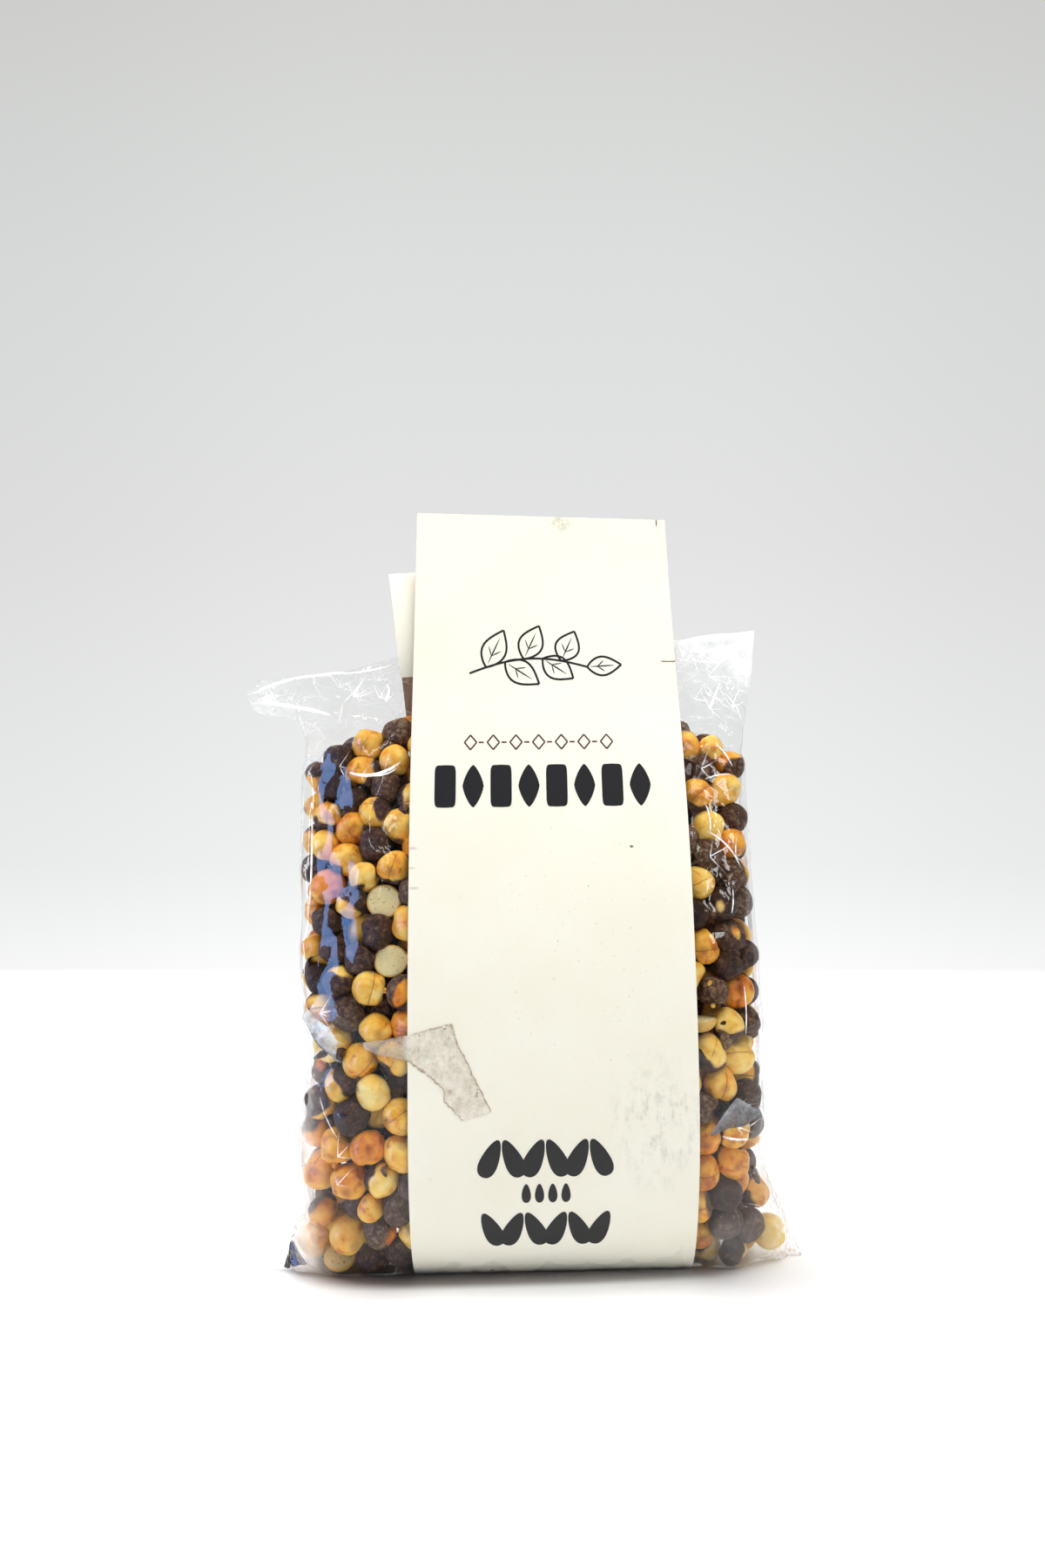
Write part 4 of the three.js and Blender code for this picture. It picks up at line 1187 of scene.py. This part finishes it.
def on_film(sheet, normal, places, back=False):
    """Points and normals on the film's front or back sheet at places given by x and z. The
    nearest grid point is found first, and one linear step from it gives the place between."""
    half = slice(FILM_COLUMNS, 2 * FILM_COLUMNS) if back else slice(0, FILM_COLUMNS)
    points, normals = sheet[:, half], normal[:, half]
    flat = points[..., [0, 2]]
    want = np.asarray(places, float).reshape(-1, 2)
    near = np.concatenate([np.abs(flat.reshape(1, -1, 2) - part[:, None]).sum(-1).argmin(1)
                           for part in np.array_split(want, len(want) // 60 + 1)])
    row, column = np.divmod(near, FILM_COLUMNS)
    row, column = np.clip(row, 1, FILM_ROWS - 2), np.clip(column, 1, FILM_COLUMNS - 2)
    along_row = (flat[row, column + 1] - flat[row, column - 1]) / 2
    along_column = (flat[row + 1, column] - flat[row - 1, column]) / 2
    rest = want - flat[row, column]
    area = along_row[:, 0] * along_column[:, 1] - along_row[:, 1] * along_column[:, 0]
    area = np.where(np.abs(area) < 1e-3, 1e-3, area)
    c = np.clip((rest[:, 0] * along_column[:, 1] - rest[:, 1] * along_column[:, 0]) / area, -1, 1)[:, None]
    r = np.clip((along_row[:, 0] * rest[:, 1] - along_row[:, 1] * rest[:, 0]) / area, -1, 1)[:, None]
    at = points[row, column]
    at = at + c * (points[row, column + 1] - points[row, column - 1]) / 2
    at = at + r * (points[row + 1, column] - points[row - 1, column]) / 2
    shape = np.shape(places)[:-1] + (3,)
    return at.reshape(shape), normals[row, column].reshape(shape)


# Creases seen in the photograph, on the front sheet: the x and z of both ends, how far the crease
# bows to its left, its half width in mm, and how white it is.
# How white a crease is stands partly for whitened film and partly for a painted glint.
SEEN_CREASES = [
    (-52.2, 137.6, -36.8, 140.6, -2.4, 0.5, 1.0), (-46.0, 136.6, -38.0, 138.6, -1.0, 0.22, 0.8),
    (-77.5, 158.6, -64.0, 164.4, 0.6, 0.5, 1.0), (-67.0, 163.4, -53.0, 166.6, 0.5, 0.55, 1.0),
    (-56.0, 166.2, -41.0, 170.4, -0.6, 0.4, 0.9), (-77.6, 156.2, -56.0, 153.0, 0.8, 0.55, 0.9),
    (-49.5, 165.1, -54.2, 156.6, 0.5, 0.22, 0.7), (-54.0, 157.0, -54.6, 151.0, 0.3, 0.2, 0.6),
    (-66.0, 157.0, -64.8, 146.6, 0.2, 0.18, 0.6), (-64.0, 146.0, -66.4, 137.0, 0.4, 0.3, 0.7),
    (-66.0, 136.0, -66.2, 110.0, 0.2, 0.22, 0.7), (-62.5, 127.0, -62.8, 95.0, 0.8, 0.5, 1.0),
    (-66.0, 108.0, -65.4, 80.0, 0.3, 0.16, 0.5), (-43.4, 164.6, -42.5, 158.6, 0.8, 0.45, 1.0),
    (55.7, 165.6, 50.4, 156.2, 0.3, 0.4, 1.0), (45.1, 176.3, 49.2, 167.6, 0.5, 0.3, 0.9),
    (55.8, 162.3, 60.2, 152.8, 0.8, 0.26, 0.8), (62.2, 174.5, 63.0, 163.0, 0.8, 0.4, 0.9),
    (45.0, 177.6, 63.6, 179.0, 0.6, 0.8, 1.0), (46.0, 174.6, 60.0, 176.4, -0.8, 0.5, 0.9),
    (46.8, 121.3, 56.8, 110.4, 1.6, 0.26, 0.9), (46.8, 129.4, 48.0, 120.4, 0.8, 0.24, 0.8),
    (47.3, 135.4, 55.6, 137.0, 0.5, 0.2, 0.7), (51.0, 146.0, 56.0, 139.0, 0.6, 0.3, 0.8),
    (56.3, 80.0, 56.4, 66.0, 0.5, 0.26, 1.0), (49.2, 40.8, 57.6, 38.8, -0.5, 0.34, 1.0),
    (53.2, 98.6, 53.9, 105.6, -0.3, 0.22, 0.9), (60.6, 132.0, 61.0, 104.0, -0.5, 0.22, 0.6),
    (61.6, 98.0, 62.4, 66.0, 0.5, 0.2, 0.5), (-62.8, 60.0, -62.6, 30.0, -0.6, 0.4, 0.7),
    (-57.4, 51.4, -51.5, 39.8, -0.8, 0.2, 0.6), (64.0, 30.0, 72.6, 10.0, -0.6, 0.3, 0.8),
    (60.0, 34.0, 71.0, 8.0, 0.8, 0.16, 0.6), (-62.0, 17.0, -73.0, 3.0, 1.2, 0.3, 0.8),
]

# Places where creases spread from points, as a fan each: the lowest and highest x and z, 0 for the
# front sheet and 1 for the back one, how many points, creases at each, their angle and its spread
# in degrees, their length and half width in mm.
CREASE_FANS = [
    (44, 63, 150, 172, 0, 7, 4, 60, 180, 9, 0.22), (44, 63, 170, 178, 0, 5, 5, 90, 180, 7, 0.3),
    (-52, -38, 156, 168, 0, 4, 4, 80, 120, 8, 0.24), (-77, -72, 154, 160, 0, 3, 3, 15, 60, 6, 0.2),
    (46, 58, 112, 146, 0, 4, 3, 50, 180, 6, 0.18), (-58, -40, 134, 142, 0, 2, 3, 20, 180, 6, 0.18),
    (-61, -54, 60, 76, 0, 4, 4, 20, 180, 6, 0.26), (53, 60, 42, 54, 0, 2, 3, 20, 180, 6, 0.2),
    (-74, -73, 2, 3, 0, 1, 8, 52, 26, 15, 0.2), (74, 75, 2, 3, 0, 1, 8, 124, 24, 18, 0.18),
    (-62, -50, 16, 50, 0, 2, 3, 70, 180, 7, 0.15), (50, 64, 12, 50, 0, 2, 3, 110, 180, 7, 0.15),
    (-58, 58, 150, 174, 1, 16, 4, 70, 180, 10, 0.24), (-60, 58, 20, 146, 1, 18, 3, 70, 180, 9, 0.2),
    (-74, -73, 2, 3, 1, 1, 8, 52, 26, 15, 0.2), (74, 75, 2, 3, 1, 1, 8, 124, 24, 18, 0.18),
]

# Each step of a crease stands this much above the last, so that no two fall together.
STEP_APART = 0.004


def creases(sheet, normal):
    """Sharp creases in the film, whitened along their crests, the white partly stress whitening and
    partly painted glints: each is a low three-sided ridge carried along a slightly bowed path on
    the sheet, which narrows and fades towards its ends."""
    rng = np.random.default_rng(CREASE_SEED)
    t = np.linspace(0, 1, 13)
    arch = 4 * t * (1 - t)
    paths = []
    for x0, z0, x1, z1, bow, half_width, white in SEEN_CREASES:
        long = math.hypot(x1 - x0, z1 - z0)
        bowed_x = mix(x0, x1, t) - bow * arch * (z1 - z0) / long
        bowed_z = mix(z0, z1, t) + bow * arch * (x1 - x0) / long
        path = np.stack([bowed_x, bowed_z], -1)
        paths.append((0, path, half_width * arch ** 0.4, white * arch ** 0.5))
    for x_low, x_high, z_low, z_high, back, nodes, arms, angle, loose, length, half_width in CREASE_FANS:
        for _ in range(nodes):
            start = np.array([rng.uniform(x_low, x_high), rng.uniform(z_low, z_high)])
            turn = np.radians(angle + loose * (np.arange(arms) / arms - 0.5 + rng.uniform(-0.1, 0.1, arms)))
            for one in turn:
                long, bow = length * rng.uniform(0.4, 1.4), rng.uniform(-0.07, 0.07)
                ahead = np.array([math.cos(one), math.sin(one)])
                path = start + long * (t[:, None] * ahead + bow * arch[:, None] * [-ahead[1], ahead[0]])
                width = half_width * rng.uniform(0.6, 1.4) * (1 - t) ** 0.6 * np.minimum(1, 6 * t + 0.4)
                paths.append((back, path, width, rng.uniform(0.4, 0.9) * (1 - t)))
    backs, places, half_width, white = (np.array(column) for column in zip(*paths))
    at, out = (np.zeros(places.shape[:2] + (3,)) for _ in range(2))
    for back in (0, 1):
        at[backs == back], out[backs == back] = on_film(sheet, normal, places[backs == back], back == 1)
    at[..., 2] += STEP_APART * np.arange(len(t))
    ahead = unit(np.gradient(at, axis=1))
    aside = unit(np.cross(ahead, out))
    width = half_width[..., None] + 0.015
    foot, crest = at - out * 0.04, at + out * (0.05 + 0.35 * width)
    points = np.stack([foot + aside * width, crest, foot - aside * width], 2)
    count, steps = points.shape[:2]
    ends = np.array([[2, 1, 0], [0, 1, 2]]) + np.array([[0], [3 * (steps - 1)]])
    triangles = (ends[None] + (np.arange(count) * 3 * steps)[:, None, None]).reshape(-1, 3)
    fade = np.stack([np.repeat(white[..., None], 3, 2)] * 3, -1)
    piece("film_creases", points.reshape(-1, 3), ring_faces(steps, 3, count)[:, ::-1], triangles[:, ::-1],
          crease_finish("creased_film"), slot="film", fade=fade)


# Folds of spare film that lie on the front sheet: the places of their upper and lower edges in
# mm, how far they stand off along the middle, and how white, how solid and how blue they look.
# The white is partly the fold's haze and partly painted light and shade; the blue is a painted
# reflection.
PLEATS = [
    ([(-61.3, 73.3), (-58.0, 70.6), (-54.6, 68.8), (-52.0, 65.2)],
     [(-61.3, 68.6), (-59.4, 65.8), (-56.1, 62.6), (-52.5, 60.8)], 1.6, 1.6, 0.62, 0.0),
    ([(-59.6, 67.0), (-58.2, 67.2), (-56.6, 65.2), (-55.9, 63.6)],
     [(-59.6, 66.4), (-58.8, 65.0), (-57.4, 63.6), (-56.1, 63.0)], 0.6, 0.05, 0.9, 0.1),
    ([(-59.2, 60.4), (-57.4, 62.4), (-55.8, 63.0), (-54.8, 62.4)],
     [(-59.0, 59.8), (-57.2, 60.6), (-55.8, 61.0), (-54.9, 61.8)], 0.6, 0.0, 0.9, 0.0),
    ([(46.0, 41.6), (49.8, 46.6), (53.6, 50.6), (60.6, 45.6)],
     [(46.4, 41.0), (51.0, 42.6), (55.6, 42.6), (60.4, 44.2)], 0.5, 0.5, 0.8, 0.0),
    ([(-65.9, 9.8), (-66.2, 6.4), (-66.8, 3.4), (-67.4, 0.8)],
     [(-66.2, 10.0), (-67.2, 6.6), (-68.2, 3.8), (-69.0, 1.2)], 0.4, 0.1, 0.85, 0.0),
    ([(-65.7, 9.8), (-65.2, 6.8), (-64.6, 4.4), (-64.2, 3.0)],
     [(-65.9, 9.8), (-66.2, 6.4), (-66.8, 3.4), (-67.2, 1.2)], 0.4, 0.4, 0.75, 1.0),
    ([(-65.2, 9.8), (-63.8, 7.4), (-62.6, 5.2), (-61.8, 3.6)],
     [(-65.7, 9.9), (-65.2, 6.8), (-64.6, 4.4), (-64.2, 3.0)], 0.4, 0.6, 0.5, 0.1),
    ([(58.8, 31.0), (60.2, 29.4), (61.4, 27.0), (61.8, 25.2)],
     [(58.4, 30.0), (59.0, 27.6), (60.2, 25.4), (61.2, 24.6)], 0.5, 0.05, 0.7, 0.0),
]


def pleats(sheet, normal):
    """Each fold is a thin closed sheet between two edges that lie on the film, arched off it by a
    sine across and rippled along. It is whiter at its upper edge than at its lower one: painted
    shade that darkens the fold downwards."""
    rows, columns = 26, 12
    t, u = np.linspace(0, 1, rows), np.linspace(0, 1, columns)
    points, faces, looks = [], [], []
    for number, (upper, lower, stand, *look) in enumerate(PLEATS):
        high, low = along_line(upper, t), along_line(lower, t)
        places = high[:, None] + (low - high)[:, None] * u[None, :, None]
        at, out = on_film(sheet, normal, places)
        arch = np.sin(np.pi * u) * (0.6 + 0.4 * np.sin(9 * t[:, None] + 4 * u + number))
        front = at + out * (0.12 + stand * arch)[..., None]
        loop = np.concatenate([front, (front - out * 0.08)[:, ::-1]], 1)
        faces.append(sheet_faces(rows, columns) + number * rows * 2 * columns)
        points.append(loop.reshape(-1, 3))
        # painted shade: the fold's white falls off from its upper edge to its lower one
        shade = np.tile(1.2 - 0.9 * np.concatenate([u, u[::-1]]), rows)
        white, solid, blue = look
        looks.append(np.stack([white * shade, solid + 0 * shade, blue + 0 * shade], -1))
    piece("film_pleats", np.vstack(points), np.vstack(faces), material=pleat_finish("folded_film"),
          slot="film", look=np.vstack(looks))


# ---------- the card band ----------

BAND_STEP = 2.5
BAND_COLUMNS = 40
TILT_FADE = (0, 30)


def band_stations():
    """The band's path from the front panel's top edge down, under and up to the flap's free edge:
    the middle of its thickness, and the way across it, at each station."""
    half = CARD_THICK / 2
    tilt = (FRONT_CENTRE_FOOT - FRONT_CENTRE_TOP) / CARD_TOP
    turn = np.linspace(0, np.pi / 2, 34)[1:]
    z = np.concatenate([np.arange(CARD_TOP, BELLY_Z, -BAND_STEP), BELLY_Z * np.cos(turn)])
    lift = np.maximum(z, half)
    front = [front_centre(z), card_front(lift) + half, lift, tilt * smooth(z, *TILT_FADE),
             card_twist(z, TWIST_FROM)]
    y = np.linspace(-FOOT_HALF, FOOT_HALF, 12)
    none = np.zeros_like(y)
    base = [none + FRONT_CENTRE_FOOT, y, none + half, none, none]
    turn = np.linspace(0, np.pi / 2, 24)[1:]
    rounded = half + (BACK_RISE - half) * (1 - np.cos(turn))
    z = np.concatenate([rounded, np.arange(BACK_RISE + 3, FOLD_Z - 1, BAND_STEP)])
    back = [back_centre(z), card_back(z) - half, z, FOLD_TILT * smooth(z, 120, FOLD_Z),
            card_twist(z, BACK_TWIST_FROM)]
    t = np.linspace(0, 1, 24)
    z = mix(FOLD_Z, FALL_Z, t ** 1.2)
    flap = [mix(BACK_CENTRE_TOP, FLAP_CENTRE, t), mix(BACK_TOP_Y - 1, FLAP_Y, 1 - (1 - t) ** 1.5), z,
            FOLD_TILT + 0 * t, card_twist(z, TWIST_FROM)]
    columns = [np.concatenate(part) for part in zip(front, base, back, flap)]
    at = np.stack(columns[:3], -1)
    way = np.stack([np.ones(len(at)), columns[4], columns[3]], -1)
    way /= np.linalg.norm(way, axis=1, keepdims=True)
    along = np.gradient(at, axis=0)
    out = unit(np.cross(along, way))
    return at, way, out


def card_band():
    """The band as a thin closed strip: an outer and an inner face, half the thickness either side
    of the path, joined round the rim."""
    at, way, out = band_stations()
    share = np.linspace(-0.5, 0.5, BAND_COLUMNS + 1)
    spread_out = way[:, None] * (share * CARD_WIDTH)[None, :, None]
    outer = at[:, None] + spread_out + out[:, None] * (CARD_THICK / 2)
    inner = outer - out[:, None] * CARD_THICK
    rows = len(at)
    loop = np.concatenate([outer, inner[:, ::-1]], 1)
    around = loop.shape[1]
    along = np.concatenate([[0], np.cumsum(np.linalg.norm(np.diff(at, axis=0), axis=1))])
    mm_across = np.concatenate([share, share[::-1]]) * CARD_WIDTH
    band = np.stack(np.broadcast_arrays(mm_across[None], along[:, None], 0.0), -1)
    quads = sheet_faces(rows, BAND_COLUMNS + 1)[:, ::-1]
    obj = piece("card_strip", loop.reshape(-1, 3), quads, material=card_finish("cream_card"), slot="card",
                crisp=True, band=band.reshape(-1, 3))
    obj.data.materials.append(raw_card_finish("raw_card"))
    index = np.zeros(len(quads), np.int32)
    column = np.tile(np.arange(around), rows - 1)
    index[: len(column)] = (column > BAND_COLUMNS) & (column < around - 1)
    obj.data.polygons.foreach_set("material_index", index)
    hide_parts("card_band")


def card_point(across, z, lift):
    """A point in front of the front panel: mm right of its middle line, at height z, and lifted
    clear of its outer face."""
    across, z = np.broadcast_arrays(np.asarray(across, float), np.asarray(z, float))
    tilt = (FRONT_CENTRE_FOOT - FRONT_CENTRE_TOP) / CARD_TOP * smooth(z, *TILT_FADE)
    way = unit(np.stack([np.ones_like(z), card_twist(z, TWIST_FROM), tilt], -1))
    near = 0.2
    slope = (card_front(z + near) - card_front(z - near)) / (2 * near)
    drift = (front_centre(z + near) - front_centre(z - near)) / (2 * near)
    out = unit(np.cross(way, np.stack([drift, slope, np.ones_like(z)], -1)))
    at = np.stack([front_centre(z), card_front(z) + CARD_THICK / 2, z], -1)
    return at + way * across[..., None] + out * (CARD_THICK / 2 + lift)[..., None]


# ---------- the print ----------

INK_LIFT = 0.06
DIVIDER_Z, BAR_Z = 145.9, 133.6


def printed(name, rails, finish):
    """One mesh of ink: every mark is a thin closed plate between a left and a right rail, which
    are rows of places on the front panel, and it is sunk a little into the card."""
    points, quads, start = [], [], 0
    for left, right in rails:
        rows = len(left)
        ring = [(left, INK_LIFT), (right, INK_LIFT), (right, -INK_LIFT), (left, -INK_LIFT)]
        loop = np.stack([card_point(rail[:, 0], rail[:, 1], np.full(rows, lift)) for rail, lift in ring], 1)
        ends = np.array([[3, 2, 1, 0], [0, 1, 2, 3]]) + np.array([[0], [4 * (rows - 1)]])
        points.append(loop.reshape(-1, 3))
        quads.append(np.vstack([ring_faces(rows, 4), ends]) + start)
        start += 4 * rows
    piece(name, np.vstack(points), np.vstack(quads), material=finish, slot="card", flat=True)


def blob(across, z, half_width, half_height, power=2.0, angle=0.0, drop=0.0):
    """A filled superellipse, as rails at rows that crowd towards its ends. It is turned by an
    angle in degrees, and narrowed towards its top by the drop."""
    t = -np.cos(np.linspace(0, np.pi, 19))
    width = half_width * np.maximum(1 - np.abs(t) ** power, 0) ** (1 / power) * (1 - drop * t) + 0.02
    c, s = math.cos(math.radians(angle)), math.sin(math.radians(angle))
    left, right = (np.stack([sign * width, half_height * t], -1) @ [[c, s], [-s, c]] + [across, z]
                   for sign in (-1, 1))
    return left, right


def stroke(path, half_width, taper=0.0):
    """A pen stroke along a path: rails half its width either side, thinner towards its ends by
    the taper."""
    t = np.linspace(0, 1, len(path))
    ahead = unit(np.gradient(path, axis=0))
    aside = np.stack([-ahead[:, 1], ahead[:, 0]], -1)
    width = half_width * (1 - taper * np.abs(2 * t - 1) ** 2)[:, None]
    return path + aside * width, path - aside * width


def leaf(base, angle, length, width):
    """A leaf drawn in outline, with its midrib and two short veins: its half width along the
    midrib is a sine, fuller towards the base."""
    t = np.linspace(0, 1, 15)
    ahead = np.array([math.cos(angle), math.sin(angle)])
    aside = np.array([-ahead[1], ahead[0]])
    swell = width / 2 * np.sin(np.pi * t ** 0.85)
    marks = []
    for sign in (1, -1):
        marks.append(stroke(base + ahead * (length * t)[:, None] + aside * (sign * swell)[:, None], 0.3))
    marks.append(stroke(base + ahead * (length * (0.1 + 0.68 * t))[:, None], 0.2, 0.8))
    for sign in (1, -1):
        outward = (sign * width * 0.28 * t)[:, None]
        vein = base + ahead * (length * (0.3 + 0.2 * t))[:, None] + aside * outward
        marks.append(stroke(vein, 0.16, 0.8))
    return marks


def prints():
    """The plain print: a leafy sprig in line, a thin ornament of open lozenges and dashes, a bold
    row of bars and lozenges, and a stack of pebbles low down. Places are mm across and up."""
    sprig = []
    t = np.linspace(0, 1, 30)
    stem = np.stack([mix(-22.0, 12.0, t), 164.6 + 5.0 * np.sin(np.pi * (0.1 + 0.8 * t)) + 2.0 * t], -1)
    sprig.append(stroke(stem, 0.3))
    for k, share in enumerate((0.14, 0.3, 0.46, 0.62, 0.78)):
        at = np.array([np.interp(share, t, stem[:, axis]) for axis in (0, 1)])
        up = 1 if k % 2 == 0 else -1
        sprig += leaf(at, math.radians(16 + up * 50), 12.4 - 0.6 * k, 7.0)
    sprig += leaf(stem[-1], math.radians(4), 10.0, 5.8)
    printed("print_sprig", sprig, ink_finish("black_ink", srgb(24, 21, 20)))

    fine = []
    for k in range(7):
        at = mix(-21.5, 16.6, k / 6)
        corner = np.array([[0, 2.1], [1.7, 0], [0, -2.1], [-1.7, 0], [0, 2.1]]) + [at, DIVIDER_Z]
        fine += [stroke(mix(corner[i], corner[i + 1], np.linspace(0, 1, 5)[:, None]), 0.2) for i in range(4)]
        if k < 6:
            fine.append(stroke(np.stack([at + mix(2.3, 4.0, t[::6]), DIVIDER_Z + 0 * t[::6]], -1), 0.2))
    printed("print_divider", fine, ink_finish("maroon_ink", srgb(74, 34, 38)))

    bold = []
    for k in range(8):
        at = mix(-28.4, 25.4, k / 7)
        bold.append(blob(at, BAR_Z, 2.9, 5.9, 7.0 if k % 2 == 0 else 1.35))
    for z, tilt in ((36.2, 24), (16.4, -24)):
        for k in range(6):
            bold.append(blob(mix(-16.6, 12.0, k / 5), z, 2.3, 5.3, 2.2, tilt if k % 2 else -tilt, 0.35))
    bold += [blob(mix(-7.4, 3.0, k / 3), 26.7, 1.15, 2.6, 2.0, 0, 0.3) for k in range(4)]
    printed("print_bold", bold, bpy.data.materials["black_ink"])


# ---------- the tape ----------

# The strip's two long edges, as places on the front panel's plane (x and z), from its tail on the
# film at the left, over the card's edge and down to its end.
TAPE_UPPER = [
    (-45.4, 65.4), (-33.4, 67.7), (-21.8, 70.9), (-20.4, 66.1), (-18.3, 62.1), (-13.6, 52.6), (-11.2, 48.2),
]
TAPE_LOWER = [
    (-44.9, 63.9), (-41.5, 62.6), (-33.1, 61.0), (-27.1, 56.7), (-24.0, 53.9), (-23.7, 50.7), (-18.9, 46.0),
]
TAPE_THICK = 0.08
TAIL_FADE = (-35.0, -32.4)


def along_line(points, shares):
    """Places at shares of the length of a line through points."""
    points = np.array(points, float)
    walked = np.concatenate([[0], np.cumsum(np.linalg.norm(np.diff(points, axis=0), axis=1))])
    return np.stack([np.interp(shares, walked / walked[-1], points[:, axis]) for axis in (0, 1)], -1)


def tape():
    """The strip of tape as a thin closed sheet between its two long edges, ragged by waves. On the
    card it follows the front panel, and past the card's left edge it bends back onto the film."""
    rng = np.random.default_rng(TAPE_SEED)
    rows, columns = 90, 16
    t, u = np.linspace(0, 1, rows), np.linspace(0, 1, columns)
    rag = 0.16 * np.sin(np.outer((1.0, 2.3, 3.9), 37 * t) + rng.uniform(0, 6, (3, 1))).sum(0) / 2
    upper, lower = along_line(TAPE_UPPER, t), along_line(TAPE_LOWER, t)
    out = unit(upper - lower)
    upper, lower = upper + out * rag[:, None], lower - out * rag[::-1, None]
    flat = upper[:, None] + (lower - upper)[:, None] * u[None, :, None]
    x, z = flat[..., 0], flat[..., 1]
    lift = 0.12 + 0.07 * np.sin(1.3 * x + 2.1 * z) * np.sin(0.9 * x - 1.2 * z)
    on_card = card_point(x - front_centre(z), z, lift)
    half = (film_back(z) - film_front(z)) / 2
    on_film = film_front(z) + half * (1 - girth(x, z)) - 0.35
    tail = 1 - smooth(x, *TAIL_FADE)
    y = mix(on_card[..., 1], np.maximum(on_card[..., 1], on_film), tail)
    front = np.stack([x, y, z], -1)
    back = front + [0, TAPE_THICK, 0]
    loop = np.concatenate([front, back[:, ::-1]], 1)
    strip = np.stack(np.broadcast_arrays(np.concatenate([u, u[::-1]])[None], t[:, None], 0.0), -1).copy()
    strip[..., 2] = np.concatenate([tail, tail[:, ::-1]], 1)
    made = piece("tape_strip", loop.reshape(-1, 3), sheet_faces(rows, columns), crisp=True,
                 material=tape_finish("old_tape"), slot="tape", strip=strip.reshape(-1, 3))
    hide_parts("tape")


# ---------- stage, camera and light ----------


def stage():
    """One sheet: a floor that turns up into a wall behind, in a quarter circle."""
    near, far, bend, top, wide = -1400.0, 656.0, 40.0, 1500.0, 1600.0
    turn = np.linspace(0, np.pi / 2, 9)
    y = np.concatenate([np.linspace(near, far, 12), far + bend * np.sin(turn[1:]), [far + bend] * 6])
    z = np.concatenate([np.zeros(12), bend * (1 - np.cos(turn[1:])), np.linspace(bend, top, 7)[1:]])
    x = np.linspace(-wide, wide, 9)
    points = np.stack(np.broadcast_arrays(x[None], y[:, None], z[:, None]), -1)
    faces = ring_faces(len(y), len(x), closed=False)
    sheet = piece("studio_paper", points.reshape(-1, 3), faces, material=stage_finish("studio_paper"))


LAMP_AIM = np.array([0.0, 0.0, 0.08])


def lamp(name, at, size, power, colour=(1.0, 1.0, 1.0)):
    """A flat rectangular lamp, placed in metres and turned towards the pack."""
    light = bpy.data.lights.new(name, "AREA")
    light.shape = "RECTANGLE"
    light.size, light.size_y = size
    light.energy = power
    light.color = colour
    obj = bpy.data.objects.new(name, light)
    bpy.context.scene.collection.objects.link(obj)
    obj.location = at
    way = LAMP_AIM - np.array(at)
    tip = math.atan2(math.hypot(way[0], way[1]), -way[2])
    obj.rotation_euler = (tip, 0, math.atan2(way[1], way[0]) - math.pi / 2)
    return obj


def lights():
    """Soft lamps all round for the surfaces, which don't mirror in the film, and five that only
    mirror in it: four white windows and a blue one."""
    world = bpy.data.worlds.new("studio")
    world.use_nodes = True
    backdrop = world.node_tree.nodes["Background"]
    backdrop.inputs["Color"].default_value = (1.0, 1.0, 1.0, 1.0)
    backdrop.inputs["Strength"].default_value = 0.02
    bpy.context.scene.world = world
    soft = [
        lamp("overhead", (-0.1, -0.2, 1.3), (1.5, 1.0), 26.0),
        lamp("front_left", (-0.5, -1.1, 0.9), (1.0, 0.8), 0.9),
        lamp("front_right", (0.7, -1.1, 0.7), (0.8, 0.8), 1.5),
        lamp("side_left", (-1.3, 0.1, 0.5), (1.0, 1.0), 0.9),
        lamp("side_right", (1.3, 0.1, 0.5), (1.0, 1.0), 2.0),
        lamp("behind", (0.0, 1.0, 0.8), (1.4, 0.8), 2.0),
    ]
    for one in soft:
        one.visible_glossy = False
    sharp = [
        lamp("left_window", (-0.45, -0.85, 0.75), (0.05, 0.5), 0.8),
        lamp("right_window", (0.8, -0.6, 0.6), (0.1, 0.5), 2.0),
        lamp("header_window", (0.3, -0.65, 0.95), (0.5, 0.14), 1.2),
        lamp("side_window", (-1.1, 0.45, 0.3), (0.08, 0.9), 2.6),
        lamp("blue_window", (-0.9, -0.35, 0.25), (0.42, 0.9), 15.0, (0.25, 0.47, 1.0)),
    ]
    for one in sharp:
        one.visible_diffuse = False


def camera():
    """The photograph's view: a 28 mm lens on a 36 mm long side, 2 degrees up."""
    data = bpy.data.cameras.new("camera")
    data.lens = 28.0
    data.sensor_width = 36.0
    data.sensor_fit = "AUTO"
    obj = bpy.data.objects.new("camera", data)
    obj.location = (-0.0033, -0.3503, 0.1223)
    obj.rotation_euler = (math.radians(92.0), 0, 0)
    bpy.context.scene.collection.objects.link(obj)
    bpy.context.scene.camera = obj


bpy.context.scene.view_settings.view_transform = "Standard"
camera()
lights()
stage()
pea_centre, pea_radius = chickpeas()
pouch = film(pea_centre, pea_radius)
creases(*pouch)
pleats(*pouch)
card_band()
prints()
tape()
